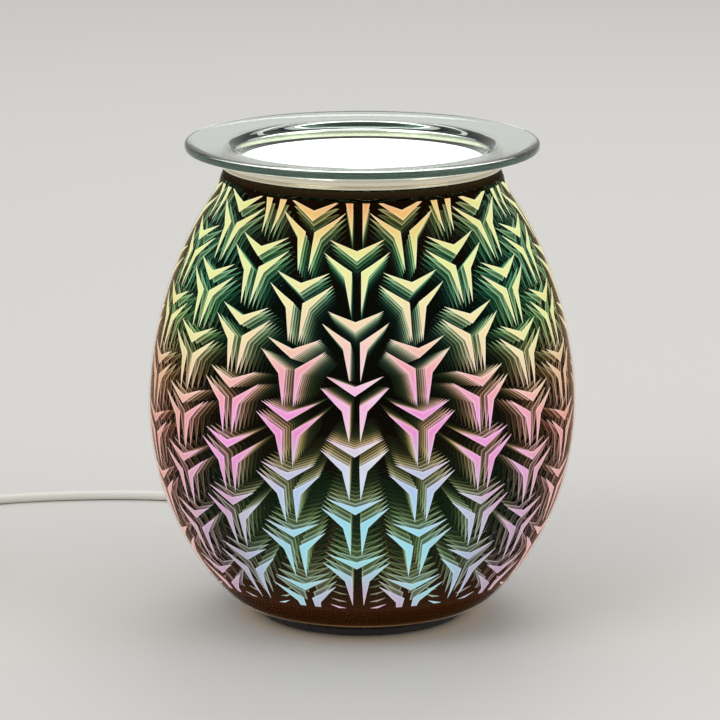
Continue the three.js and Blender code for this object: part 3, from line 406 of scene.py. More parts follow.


# Colour of the stars in front: toned at the sides and deeper in the core. Tips, outline and the
# stars straight in front and behind at middle heights are paler: painted highlights.
def frontColour(tree, height, sideways, tip, rimmed):
    look = mirrorBands
    front = bandsAt(tree, "front", slippedHeight(tree, height, sideways))
    share = times(tree, between(tree, sideways, look["sideToneSides"]), look["sideToneShare"],
                  between(tree, height, look["sideToneHeights"]))
    front = mixColours(tree, share, front, colour(*look["sideTone"]))
    share = times(tree, between(tree, sideways, look["lowToneSides"]), look["lowToneShare"],
                  between(tree, height, look["lowToneHeights"]),
                  between(tree, sideways, look["lowToneEndSides"]))
    front = mixColours(tree, share, front, colour(*look["lowTone"]))
    core = times(tree, minus(tree, 1, rimmed), look["coreDepth"],
                 between(tree, height, look["coreHeights"]))
    front = mixColours(tree, core, front, front, "MULTIPLY")
    central = times(tree, between(tree, sideways, look["centreWhiteSides"]), look["centreWhite"],
                    between(tree, height, look["centreWhiteHeights"]),
                    between(tree, tip, look["centreWhiteTips"]),
                    between(tree, height, look["centreWhiteEndHeights"]))
    pale = maths(tree, "MAXIMUM", times(tree, tip, tip, look["tipHighlight"]),
                 times(tree, rimmed, look["edgeHighlight"]))
    return mixColours(tree, maths(tree, "MAXIMUM", pale, central), front, look["white"])


def buildBandsGroup():
    look = mirrorBands
    group, given, made = newGroup("mirror bands", [
        ("Image Scale", "NodeSocketFloat", 1),
        ("Image Number", "NodeSocketFloat", 0),
        ("Tip", "NodeSocketFloat", 0),
        ("Edge", "NodeSocketFloat", 0),
    ], [("Colour", "NodeSocketColor")])
    number = given["Image Number"]
    x, y, z = objectAxes(group)
    centre = echoes["centreHeight"] * mm
    rise = maths(group, "DIVIDE", minus(group, z, centre), given["Image Scale"])
    height = times(group, plus(group, rise, centre), 1 / mm)
    xx, yy = times(group, x, x), times(group, y, y)
    radius = plus(group, plus(group, xx, yy), look["leastRadius"])
    sideways = maths(group, "DIVIDE", xx, radius)
    rimmed = times(group, given["Edge"], given["Edge"])
    front = frontColour(group, height, sideways, given["Tip"], rimmed)
    aside = between(group, sideways, look["imageSides"])

    # The deeper an image, the less it keeps of the front's colour
    deep = mixColours(group, between(group, sideways, look["depthSides"]),
                      bandsAt(group, "depth", height), bandsAt(group, "sideDepth", height))
    deep = mixColours(group, between(group, number, look["farNumbers"]), deep,
                      bandsAt(group, "far", height))
    kept = mixColours(group, aside, bandsAt(group, "centreShare", height),
                      bandsAt(group, "sideShare", height))
    share = maths(group, "SUBTRACT", 1, maths(group, "POWER", kept, number), clamp=True)
    blended = mixColours(group, share, front, deep)

    # The deeper an image, the dimmer it is. It is bright along its outline and hollow inside it,
    # the star in front is not.
    behind = maths(group, "MAXIMUM", minus(group, number, look["fadeFrom"]), 0)
    fade = mixColours(group, aside, bandsAt(group, "centreFade", height),
                      bandsAt(group, "sideFade", height))
    glow = maths(group, "POWER", fade, maths(group, "POWER", behind, look["fadeCurve"]))
    grain = noise(group, look["grainScale"], look["grainDetail"], look["grainRoughness"])
    speck = plus(group, times(group, grain, look["grain"]), 1 - look["grainMean"] * look["grain"])
    isImage = maths(group, "MINIMUM", number, 1)
    hollow = times(group, minus(group, 1, times(group, rimmed, rimmed)), look["hollow"], isImage)
    gain = plus(group, times(group, isImage, look["imageGain"] - 1), 1)
    light = times(group, glow, speck, minus(group, 1, hollow), gain)
    seen = mixColours(group, light, bandsAt(group, "floorGlow", height), blended)
    group.links.new(seen, made["Colour"])
    return group


# Plain finishes: the sockets that differ, and the inputs of the surface group in their order

metal = {"Metallic": 1}
finishRows = {
    "polishedRing": (metal, (240, 233, 214), (188, 178, 156), 0.25, 900, 0.05, 0.16, 0.08, 0.1),
    "plainSteel": (metal, (168, 170, 174), (120, 118, 114), 0.4, 1500, 0.2, 0.34, 0.2, 0.3),
    "plainBrass": (metal, (205, 168, 86), (140, 108, 52), 0.4, 1500, 0.15, 0.28, 0.2, 0.2),
    "blackPlastic": ({"Specular IOR Level": 0.3},
                     (12, 12, 13), (30, 29, 28), 0.3, 2600, 0.35, 0.5, 0.2, 0.06),
    "blackRubber": ({}, (24, 24, 24), (52, 50, 48), 0.4, 3200, 0.6, 0.78, 0.15, 0.05),
    "whitePlastic": ({}, (232, 230, 224), (206, 200, 188), 0.3, 2400, 0.2, 0.34, 0.14, 0.1),
    "whiteFlex": ({}, (226, 224, 217), (196, 190, 178), 0.35, 1800, 0.3, 0.46, 0.16, 0.05),
    "whiteCeramic": ({}, (226, 220, 206), (188, 178, 158), 0.35, 1600, 0.5, 0.6, 0.2, 0.1),
    "darkSeal": ({}, (40, 40, 40), (70, 68, 66), 0.3, 2200, 0.4, 0.7, 0.1, 0.05),
    "greenBoard": ({}, (44, 100, 58), (24, 66, 36), 0.5, 900, 0.2, 0.5, 0.1, 0.05),
    "lampReflector": (metal, (220, 220, 222), (170, 168, 164), 0.2, 1200, 0.1, 0.12, 0.1, 0.1),
}


def buildFinishes():
    surface = buildSurfaceGroup()
    finishes = {}
    for name, (sockets, base, tint, *amounts) in finishRows.items():
        material, tree, shader = newMaterial(name, sockets)
        node = placeGroup(tree, surface)
        for socket, value in zip(node.inputs, (colour(*base), colour(*tint), *amounts)):
            socket.default_value = value
        for output, socket in (("Colour", "Base Color"), ("Roughness", "Roughness"),
                               ("Normal", "Normal")):
            tree.links.new(node.outputs[output], shader.inputs[socket])
        finishes[name] = material
    return finishes


# Camera, as the photograph was taken

camera = {
    "place": (-0.75, -1325.0, 398.6),
    "target": (-0.75, 0.0, 87.8),
    "lens": 199,
    "sensor": 36,
    "clip": (0.05, 20),
}


def buildCamera():
    data = bpy.data.cameras.new("camera")
    data.lens, data.sensor_width = camera["lens"], camera["sensor"]
    data.clip_start, data.clip_end = camera["clip"]
    view = newObject("camera", data)
    aim(view, camera["place"], camera["target"], mm)
    bpy.context.scene.camera = view


# Flat flex

flex = {
    "width": 4.9,
    "thickness": 3.0,
    "coreShare": 0.8,
    "groove": 0.14,
    "sectionStep": 30,
    "sharpAngle": 60,
    "restHeight": 1.6,
    "toDimmer": [
        (0, 36.2, 1.6), (0, 58, 1.6), (-4, 86, 1.6), (-19, 112, 1.6), (-44, 131, 1.6),
        (-76, 141, 1.6), (-108, 141.5, 1.6), (-137, 136, 1.6), (-156, 126, 2.3),
        (-164, 112, 4.9), (-165, 101.6, 5.4),
    ],
    "stepsToDimmer": 8,
    "toCoil": [(-165, -5.6, 5.4), (-165, -12.6, 4.6), (-165, -23.1, 2.4), (-165, -34.8, 1.6)],
    "toPlug": [(-237, -34.8, 5.05), (-237, -27.1, 5.45), (-237, -15.6, 7.6), (-237, -7.6, 8)],
    "stepsAtCoil": 6,
    "coilCentre": (-201, -40),
    "coilRadius": 36,
    "coilPitch": 5.4,
    "coilTurns": 5.5,
    "coilStart": (-165, -35.1, 1.6),
    "coilEnd": (-237, -35.1, 5.05),
    "crossingTurns": 0.5,
    "layerRise": 3.45,
    "stepsPerTurn": 48,
}


# The point at t on the way from one point, at start, to another, at end
def onWay(one, another, start, end, t):
    return one * ((end - t) / (end - start)) + another * ((t - start) / (end - start))


# A smooth curve through points, its knots as far apart as the roots of their distances, as in
# the routes of the solids
def curveThrough(points, steps):
    points = [Vector(p) for p in points]
    padded = [points[0] * 2 - points[1], *points, points[-1] * 2 - points[-2]]
    found = []
    for i in range(len(points) - 1):
        four, knots = padded[i:i + 4], [0]
        for a, b in zip(four, four[1:]):
            knots.append(knots[-1] + (b - a).length ** 0.5)
        for k in range(steps):
            t = knots[1] + (knots[2] - knots[1]) * k / steps
            line = [onWay(four[j], four[j + 1], knots[j], knots[j + 1], t) for j in range(3)]
            bend = [onWay(line[j], line[j + 1], knots[j], knots[j + 2], t) for j in range(2)]
            found.append(onWay(*bend, knots[1], knots[2], t))
    found.append(points[-1])
    return found


# Inward in one layer to the middle turn, over itself, and outward again in the layer above
def coilRoute():
    turns, steps, crossing = flex["coilTurns"], flex["stepsPerTurn"], flex["crossingTurns"]
    middle = turns / 2
    cx, cy = flex["coilCentre"]
    found = [Vector(flex["coilStart"])]
    for i in range(int(turns * steps) + 1):
        fromMiddle = i / steps - middle
        radius = flex["coilRadius"] - flex["coilPitch"] * (middle - abs(fromMiddle))
        share = min(max((fromMiddle + crossing / 2) / crossing, 0), 1)
        lift = flex["layerRise"] * share * share * (3 - 2 * share)
        angle = -2 * math.pi * i / steps
        found.append(Vector((cx + radius * math.cos(angle), cy + radius * math.sin(angle),
                             flex["restHeight"] + lift)))
    found.append(Vector(flex["coilEnd"]))
    return found


# Two round cores side by side under one sheath, with a shallow groove between them
def flexSection():
    half, flat = flex["width"] / 2, flex["thickness"] / 2
    side = half - flat * flex["coreShare"]
    right = [(side + (half - side) * math.cos(a), flat * math.sin(a))
             for a in [math.radians(d) for d in range(-90, 91, flex["sectionStep"])]]
    left = [(-x, -y) for x, y in right]
    return [*right, (0, flat - flex["groove"]), *left, (0, -flat + flex["groove"])]


def flatSweep(name, route, material, replaces):
    section = flexSection()
    count = len(section)
    points, faces = [], []
    up = Vector((0, 0, 1))
    for i, point in enumerate(route):
        along = (route[min(i + 1, len(route) - 1)] - route[max(i - 1, 0)]).normalized()
        across = along.cross(up).normalized()
        lift = across.cross(along)
        points += [point + across * x + lift * y for x, y in section]
    for i in range(len(route) - 1):
        for k in range(count):
            j = (k + 1) % count
            faces.append((i * count + k, i * count + j, (i + 1) * count + j, (i + 1) * count + k))
    faces.append(tuple(range(count)))
    faces.append(tuple(range((len(route) - 1) * count, len(route) * count))[::-1])
    return newPiece(name, points, faces, "burner", [material], replaces,
                    flex["sharpAngle"])


def lengthOf(route):
    return sum((b - a).length for a, b in zip(route, route[1:])) * mm


def buildFlex(finishes):
    steps = flex["stepsAtCoil"]
    first = curveThrough(flex["toDimmer"], flex["stepsToDimmer"])
    second = (curveThrough(flex["toCoil"], steps)[:-1] + coilRoute()
              + curveThrough(flex["toPlug"], steps)[1:])
    lead = flatSweep("flexToDimmer", first, finishes["whiteFlex"], ["cord_to_dimmer"])
    tail = flatSweep("flexToPlug", second, finishes["whiteFlex"],
                     ["cord_to_coil", "cord_coil", "cord_to_plug"])
    print("flex lengths", round(lengthOf(first), 3), round(lengthOf(second), 3))


# Glass shade

shade = {
    "radius": 73.2,
    "widestHeight": 74,
    "upperPower": 1.8,
    "footMouth": 34.5,
    "footRadius": 47.4,
    "lipHeight": 3.7,
    "rollHeight": 8.5,
    "rollSteps": 10,
    "neckHeight": 147,
    "neckRadius": 50,
    "topHeight": 156,
    "topRadius": 46.3,
    "lineSteps": 64,
    "lineEnd": 0.8,
    "slopeStep": 0.05,
    "wall": 3,
    "rounding": 0.6,
    "skin": 0.3,
    "skinEnd": 4.2,
    "lipCorners": [(0, 0.6), (0.6, 0)],
    "neckCorners": [(-0.15, -0.3), (-0.6, 0)],
    "stepCorners": [(0, -0.6), (0, -3.2)],
    "skinCorner": (0.6, -4),
    "footCorner": (1.4, 1.2),
    "segments": 192,
    "sharpAngle": 50,
}


def eggRadius(height):
    radius, widest = shade["radius"], shade["widestHeight"]
    if height < widest:
        reach = (widest - shade["rollHeight"]) / math.sqrt(1 - (shade["footRadius"] / radius) ** 2)
        return radius * math.sqrt(1 - ((widest - height) / reach) ** 2)
    power = shade["upperPower"]
    drawnIn = 1 - (shade["neckRadius"] / radius) ** 2
    reach = (shade["neckHeight"] - widest) / drawnIn ** (1 / power)
    return radius * math.sqrt(1 - ((height - widest) / reach) ** power)


def shadeRadiusAt(height):
    if height <= shade["neckHeight"]:
        return eggRadius(height)
    share = (height - shade["neckHeight"]) / (shade["topHeight"] - shade["neckHeight"])
    return shade["neckRadius"] + (shade["topRadius"] - shade["neckRadius"]) * share


def shadeNormal(height):
    step = shade["slopeStep"]
    slope = (shadeRadiusAt(height + step) - shadeRadiusAt(height - step)) / (2 * step)
    length = math.hypot(1, slope)
    return 1 / length, -slope / length


def shadeLine(inset, steps=shade["lineSteps"]):
    heights = np.linspace(shade["rollHeight"], shade["topHeight"] - shade["lineEnd"], steps)
    line = []
    for height in heights:
        normal = shadeNormal(height)
        line.append((shadeRadiusAt(height) - inset * normal[0], height - inset * normal[1]))
    return line


def rollLine(inset):
    normal = shadeNormal(shade["rollHeight"])
    radius = (shade["rollHeight"] - shade["lipHeight"]) / (1 + normal[1])
    centre = (shade["footRadius"] - radius * normal[0], shade["rollHeight"] - radius * normal[1])
    end = math.degrees(math.atan2(normal[1], normal[0]))
    return arc(centre, radius - inset, -90, end, shade["rollSteps"])


# A thin clear skin, with the wall's full thickness at the neck and at the lip alone
def buildShadeGlass(material):
    skin, wall, rounding = shade["skin"], shade["wall"], shade["rounding"]
    mouth, lip, neck, top = (shade[k] for k in ("footMouth", "lipHeight", "topRadius", "topHeight"))
    outer = rollLine(0)[:-1] + shadeLine(0)
    inner = rollLine(skin)[:-1] + shadeLine(skin)
    profile = [
        *cornersFrom(mouth, lip, shade["lipCorners"]),
        *outer,
        *cornersFrom(neck, top, shade["neckCorners"]), (neck - wall + rounding, top),
        *cornersFrom(neck - wall, top, shade["stepCorners"]),
        *cornersFrom(neck - skin, top, [shade["skinCorner"]]),
        *[p for p in reversed(inner) if p[1] < top - shade["skinEnd"]],
        *cornersFrom(mouth, lip, [shade["footCorner"]]),
        (mouth + rounding, lip + wall), (mouth, lip + wall - rounding),
    ]
    points, faces, _ = turned(profile, shade["segments"])
    newPiece("shadeGlass", points, faces, "burner", [material], ["glass_shade"],
             shade["sharpAngle"])


# Pattern of three-armed stars on the mirror, and their images deeper in it: painted reflections,
# built as glowing plates

pattern = {
    "columns": 20,
    "turn": -1.9,
    "evenRows": [11.8, 31.8, 52.2, 72.3, 92.3, 112.1, 133.8, 156.2],
    "oddRows": [22.4, 43.1, 63.6, 83.6, 103.5, 123.8, 145.6],
    "tallerBy": 0.0016,
    "tallerFrom": 90,
    "band": (15, 151.6),
    "inset": 0.36,
    "chevron": [((0, 2.9), (0, 0), (-9.6, 6.1)), ((0, 0), (0, 2.9), (9.6, 6.1))],
    "leftArm": [((-1.6, -3.2), (-4.2, -4.8), (-11.5, 2.5)),
                ((-4.2, -4.8), (-1.6, -3.2), (-1.85, -15.1))],
    "armLengths": 3,
    "thickness": 0.08,
}
# How far the print strays from even rows and columns, by height: degrees turned, degrees drawn
# together at the front, millimetres raised, millimetres higher on the right
stray = {
    "heights": [14, 40, 65, 90, 115, 145],
    "turned": [0.5, 0.1, -0.1, -0.1, -0.1, 0.1],
    "drawn": [1.5, 1.1, 0.8, 0.6, 1.9, 2.8],
    "raised": [-0.6, 0, 0, 0, 0.7, 0.4],
    "tilted": [0.3, 0.7, 0.95, 0.95, 0.85, 0.65],
}
echoes = {
    "count": 12,
    "step": 0.031,
    "centreHeight": 80,
    "armLengths": 1,
    "thickness": 0.08,
}
coat = {
    "inset": 0.5,
    "thickness": 0.15,
    "borderOverlap": 0.5,
    "heights": (3, 157),
    "film": [(3, (255, 140, 64)), (50, (255, 158, 84)), (90, (255, 206, 96)),
             (157, (240, 222, 110))],
    "filmPower": 11,
    # The border's painted glow by height, with a painted gold highlight along the lip
    "border": [
        (3.7, (4, 2, 1)), (4.3, (158, 124, 78)), (5.3, (146, 110, 62)), (6.4, (44, 20, 4)),
        (9, (38, 16, 2)), (13, (48, 21, 6)), (16, (44, 20, 8)), (150.5, (14, 6, 3)),
        (153, (30, 20, 11)), (156, (52, 42, 26)),
    ],
    "segments": 128,
}
depth = {
    "pastLast": 0.6,
    "lineSteps": 40,
    "skirtGap": 1.5,
    "skirtBottom": 12,
    # The sheet's painted glow, by height
    "glow": [
        (11, (56, 31, 15)), (14, (50, 29, 15)), (20, (36, 27, 19)), (27, (16, 32, 18)),
        (42, (13, 23, 12)), (62, (17, 13, 9)), (82, (12, 9, 6)), (100, (10, 12, 6)),
        (118, (9, 12, 6)), (131, (14, 10, 4)), (151, (20, 9, 3)),
    ],
    "wellRadius": 27,
    "wellGap": 0.6,
    "wellStep": 2,
    "wellTop": 131,
    "neckRadius": 42.2,
    "neckTop": 151,
    "wall": (0.8, -0.3),
    "segments": 96,
}


# Cuts a tapering arm into short lengths, from its root edge (a, b) to its tip, with a line of
# corners down its middle. A corner is (x, y, how near the tip, how near the outline).
def armCells(a, b, tip, lengths):
    def along(start, t, edge):
        return (start[0] + (tip[0] - start[0]) * t, start[1] + (tip[1] - start[1]) * t, t, edge)

    middle = ((a[0] + b[0]) / 2, (a[1] + b[1]) / 2)
    cells = []
    for i in range(lengths):
        t, u = i / lengths, (i + 1) / lengths
        for first, second, edges in ((a, middle, (1, 0)), (middle, b, (0, 1))):
            near = [along(first, t, edges[0]), along(second, t, edges[1])]
            if i == lengths - 1:
                cells.append([*near, (*tip, 1, 1)])
            else:
                cells.append([*near, along(second, u, edges[1]), along(first, u, edges[0])])
    return cells


def clipped(cell, low, high):
    for limit, sign in ((low, 1), (high, -1)):
        kept = []
        for i, point in enumerate(cell):
            nextPoint = cell[(i + 1) % len(cell)]
            here, there = sign * (point[1] - limit), sign * (nextPoint[1] - limit)
            if here >= 0:
                kept.append(point)
            if here * there < 0:
                t = here / (here - there)
                kept.append(tuple(p + (q - p) * t for p, q in zip(point, nextPoint)))
        cell = kept
        if len(cell) < 3:
            return []
    return cell


def starCells(lengths):
    right = [tuple((-x, y) for x, y in arm) for arm in pattern["leftArm"]]
    arms = [*pattern["chevron"], *pattern["leftArm"], *[(b, a, tip) for a, b, tip in right]]
    return [cell for arm in arms for cell in armCells(*arm, lengths)]


def printed(azimuth, height):
    turn, drawn, raised, tilted = [float(np.interp(height, stray["heights"], stray[key]))
                                   for key in ("turned", "drawn", "raised", "tilted")]
    sideways = math.sin(azimuth)
    return azimuth + math.radians(turn - drawn * sideways), height + raised + tilted * sideways


def starPlates(lengths):
    cells = starCells(lengths)
    found = []
    for column in range(pattern["columns"]):
        azimuth = math.radians(pattern["turn"] + column * 360 / pattern["columns"])
        for base in pattern["evenRows"] if column % 2 == 0 else pattern["oddRows"]:
            taller = 1 + pattern["tallerBy"] * (base - pattern["tallerFrom"])
            for cell in cells:
                cell = [(x, base + (y * taller if y > 0 else y), *marks) for x, y, *marks in cell]
                cell = [(*printed(azimuth + x / shadeRadiusAt(h), h), *marks)
                        for x, h, *marks in cell]
                cell = clipped(cell, *pattern["band"])
                if cell:
                    found.append(cell)
    return found


def onShade(azimuth, height, inset, scale):
    normal = shadeNormal(height)
    radius = (shadeRadiusAt(height) - inset * normal[0]) * scale
    level = height - inset * normal[1]
    centre = echoes["centreHeight"]
    height = centre + (level - centre) * scale
    return radius * math.sin(azimuth), -radius * math.cos(azimuth), height


def plateMesh(plates, inset, scale):
    points, faces, tips, edges, known = [], [], [], [], {}
    for plate in plates:
        face = []
        for azimuth, height, tip, edge in plate:
            place = onShade(azimuth, height, inset, scale)
            key = tuple(round(c, 3) for c in place)
            if key not in known:
                known[key] = len(points)
                points.append(place)
                tips.append(tip)
                edges.append(edge)
            if known[key] not in face:
                face.append(known[key])
        if len(face) > 2:
            faces.append(face)
    return points, faces, {"tip": tips, "edge": edges}


def addValues(piece, values):
    for name, numbers in values.items():
        piece.data.attributes.new(name, "FLOAT", "POINT").data.foreach_set("value", numbers)


def thicken(piece, thickness, backSlot=0):
    solid = piece.modifiers.new("thickness", "SOLIDIFY")
    solid.thickness = thickness * mm
    solid.offset = -1
    solid.material_offset = backSlot
    bpy.context.view_layer.update()
    evaluated = piece.evaluated_get(bpy.context.evaluated_depsgraph_get())
    mesh = bpy.data.meshes.new_from_object(evaluated)
    piece.modifiers.clear()
    piece.data = mesh


def buildPattern(starMaterial, echoMaterial, backMaterial):
    plates = starPlates(pattern["armLengths"])
    points, faces, values = plateMesh(plates, pattern["inset"], 1)
    stars = newPiece("shadeStars", points, faces, "burner", [starMaterial])
    addValues(stars, values)
    thicken(stars, pattern["thickness"])
    plates = starPlates(echoes["armLengths"])
    allPoints, allFaces, allValues = [], [], {"tip": [], "edge": [], "imageNumber": []}
    for number in range(1, echoes["count"] + 1):
        points, faces, values = plateMesh(plates, 0, 1 - echoes["step"] * number)
        allFaces += [[i + len(allPoints) for i in face] for face in faces]
        allPoints += points
        for name, numbers in {**values, "imageNumber": [number] * len(points)}.items():
            allValues[name] += numbers
    images = newPiece("shadeStarImages", allPoints, allFaces, "burner",
                      [echoMaterial, backMaterial])
    addValues(images, allValues)
    thicken(images, echoes["thickness"], 1)
    print("star plates", len(stars.data.polygons), "images", len(images.data.polygons))


# The mirror coat is one-way, dark from the room side of the far wall, with a plain border at
# each end. Its materials are the film outside, the coat inside and the border, whose glow is
# painted light, with a painted gold highlight along the lip.
def buildMirrorCoat(materials):
    outer, inner = [[*rollLine(inset)[:-1], *shadeLine(inset)]
                    for inset in (coat["inset"], coat["inset"] + coat["thickness"])]
    points, faces, bands = turned([*outer, *reversed(inner)], coat["segments"])
    low, high = pattern["band"]
    high -= coat["borderOverlap"]
    count = len(outer) - 1
    outside = [2 if outer[b + 1][1] < low or outer[b][1] > high else 0 for b in range(count)]
    newPiece("mirrorCoat", points, faces, "burner", materials,
             faceMaterials=[outside[b] if b < count else 1 for b in bands])


# A dark sheet of painted shade with a faint painted glow, put where the dark shows between the
# images: an inner skin with a skirt at the foot and a well that lets the lamp through and flares to
# the neck
def buildPaintedDarkSheet(materials):
    scale = 1 - echoes["step"] * (echoes["count"] + depth["pastLast"])
    centre, well, across = echoes["centreHeight"], depth["wellRadius"], depth["wellGap"]
    egg = [(r * scale, centre + (h - centre) * scale) for r, h in shadeLine(0, depth["lineSteps"])]
    line = [(shadeRadiusAt(depth["skirtBottom"]) - depth["skirtGap"], depth["skirtBottom"])]
    line += [p for p in egg if p[1] < centre or p[0] > well + across]
    line += [(well, line[-1][1] + depth["wellStep"]), (well, depth["wellTop"]),
             (depth["neckRadius"], depth["neckTop"])]
    inner = [(r - depth["wall"][0], h - depth["wall"][1]) for r, h in line]
    points, faces, bands = turned([*line, *reversed(inner)], depth["segments"])
    newPiece("paintedDarkSheet", points, faces, "burner", materials,
             faceMaterials=[0 if b < len(line) - 1 else 1 for b in bands])


# Painted light: the stars and their images glow by emission over a near black base, for the lamp's
# light through the etched pattern
def litMaterial(name, bands):
    material, tree, shader = newMaterial(name, {
        "Base Color": (0.02, 0.02, 0.02, 1), "Roughness": 0.55, "Specular IOR Level": 0.1,
        "Emission Strength": 1})
    group = placeGroup(tree, bands)
    tree.links.new(attribute(tree, "tip"), group.inputs["Tip"])
    tree.links.new(attribute(tree, "edge"), group.inputs["Edge"])
    tree.links.new(group.outputs["Colour"], shader.inputs["Emission Color"])
    return material, tree, shader, group


# A ramp over the height in the object's own space, from the bottom of the coat to its top
def coatRamp(tree, rows):
    bottom, top = coat["heights"]
    height = times(tree, objectAxes(tree)[2], 1 / mm)
    level = maths(tree, "DIVIDE", minus(tree, height, bottom), top - bottom)
    return ramp(tree, level, heightStops(rows, coat["heights"]))


# Clear from behind, so a skin shows from one side alone, and there as much as its gloss if any
def oneWay(material, tree, shader, gloss=None):
    material.use_backface_culling = True
    behind = tree.nodes.new("ShaderNodeNewGeometry").outputs["Backfacing"]
    seen = minus(tree, 1, behind)
    if gloss is not None:
        seen = times(tree, gloss, seen)
    tree.links.new(seen, shader.inputs["Alpha"])


def shadeMaterials():
    bands = buildBandsGroup()
    stars = litMaterial("litStars", bands)[0]
    images, tree, shader, group = litMaterial("litStarImages", bands)
    number = attribute(tree, "imageNumber")
    tree.links.new(number, group.inputs["Image Number"])
    scale = minus(tree, 1, times(tree, number, echoes["step"]))
    tree.links.new(scale, group.inputs["Image Scale"])
    oneWay(images, tree, shader)
    glass = newMaterial("shadeGlass", {
        "Base Color": (0.97, 0.98, 0.97, 1), "Metallic": 0, "Roughness": 0.02, "IOR": 1.025,
        "Transmission Weight": 1})[0]
    backs = newMaterial("imageBacks", {"Base Color": (0, 0, 0, 1), "Alpha": 0})[0]
    # Painted shade: near black, with the sheet's painted glow
    dark, tree, shader = newMaterial("paintedDarkAndGlow", {
        "Base Color": (0.004, 0.006, 0.005, 1), "Roughness": 0.6, "Specular IOR Level": 0.05,
        "Emission Strength": 1})
    tree.links.new(coatRamp(tree, depth["glow"]), shader.inputs["Emission Color"])
    oneWay(dark, tree, shader)
    silver, tree, shader = newMaterial("mirrorCoat", {
        "Base Color": (0.04, 0.045, 0.045, 1), "Metallic": 1, "Roughness": 0.2})
    oneWay(silver, tree, shader)
    film, tree, shader = newMaterial("mirrorFilm", {
        "Metallic": 1, "Roughness": 0.14, "Specular Tint": (1, 0.62, 0.26, 1)})
    tree.links.new(coatRamp(tree, coat["film"]), shader.inputs["Base Color"])
    facing = tree.nodes.new("ShaderNodeLayerWeight").outputs["Facing"]
    oneWay(film, tree, shader, maths(tree, "POWER", facing, coat["filmPower"]))
    border, tree, shader = newMaterial("paintedBorderGlow", {
        "Base Color": (0.006, 0.003, 0.001, 1), "Roughness": 0.5, "Specular IOR Level": 0,
        "Emission Strength": 0.9})
    tree.links.new(coatRamp(tree, coat["border"]), shader.inputs["Emission Color"])
    return {"glass": glass, "stars": stars, "images": images, "backs": backs, "depth": dark,
            "coat": silver, "film": film, "border": border}


# Neck ring

collar = {
    "seat": 156.6,
    "top": 159.5,
    "radius": 47.6,
    "bore": 45.0,
    "lipBottom": 155.7,
    "lipWall": 0.83,
    "lipCorners": [(-0.175, 0), (-0.04, 0.15), (0, 0.45)],
    "grooveCorners": [(-0.06, -0.3), (-0.35, -0.12), (-0.35, -0.02)],
    "boreCorners": [(0.7, 0), (0.2, -0.2), (0, -0.7)],
    "beadShare": 0.5,
    "beadStep": 15,
    "segments": 160,
    "sharpAngle": 35,
}


def buildCollar(finishes):
    radius, seat, top, bore = collar["radius"], collar["seat"], collar["top"], collar["bore"]
    lip = collar["lipBottom"]
    half = (top - seat) / 2
    reach = half * collar["beadShare"]
    bead = [(radius - reach + reach * math.cos(a), top - half + half * math.sin(a))
            for a in [math.radians(d) for d in range(-90, 91, collar["beadStep"])]]
    profile = [
        (bore, seat), (radius - collar["lipWall"], seat), (radius - collar["lipWall"], lip),
        *cornersFrom(radius, lip, collar["lipCorners"]),
        *cornersFrom(radius, seat, collar["grooveCorners"]),
        *bead[1:],
        *cornersFrom(bore, top, collar["boreCorners"]),
    ]
    points, faces, _ = turned(profile, collar["segments"])
    newPiece("neckRing", points, faces, "burner", [finishes["polishedRing"]],
             ["neck_collar"], collar["sharpAngle"])


# Oil dish. Its corners are radii, with heights from the flange, the top or the floor.

dish = {
    "floorBottom": 154.5,
    "floorTop": 157.1,
    "floorRadius": 40.4,
    "floorMiddle": 20,
    "cornerRadius": 2.7,
    "cornerArc": (-90, -20, 8),
    "flangeBottom": 159.8,
    "underCorners": [
        (43.5, -1.9), (43.9, -1.2), (44.15, -0.75), (44.5, -0.4), (45, -0.13), (45.6, 0),
        (49, 0.25), (52.5, 0.6), (56.5, 1.2),
    ],
    "rimRadius": 60,
    "rimWall": 2.9,
    "rimRounding": 1.1,
    "rimSteps": 6,
    "top": 164.2,
    "brimCorners": [(56, -0.35), (51.9, -0.9)],
    "slopeCorners": [
        (48.5, 3.2), (46, 3.1), (45, 2.8), (44, 2.3), (43.2, 1.5), (42.5, 0.7), (41.8, -0.3),
    ],
    "floorCorners": [(41.2, 1.6), (40.7, 0.95), (40.2, 0.5), (39.5, 0.18), (38.6, 0)],
    "segments": 200,
    "sharpAngle": 60,
    "edgeEnds": (4, 3),
    "looks": {
        "dishGlass": {"Base Color": (0.86, 0.95, 0.90, 1), "Metallic": 0, "Roughness": 0.01,
                      "IOR": 1.45, "Transmission Weight": 1},
        # The rim's outer band, tinted near black: the green of the glass's edge, darkened further
        # by painted shade
        "dishEdge": {"Base Color": (0.001, 0.003, 0.0018, 1), "Metallic": 0, "Roughness": 0.06,
                     "IOR": 1.45, "Transmission Weight": 1},
        # The frosted floor, which glows white: painted glow of the lamp's light through it
        "dishFrostGlow": {"Base Color": (0.9, 0.91, 0.89, 1), "Roughness": 0.7,
                      "Emission Color": (1, 0.985, 0.95, 1), "Emission Strength": 0.9},
    },
}


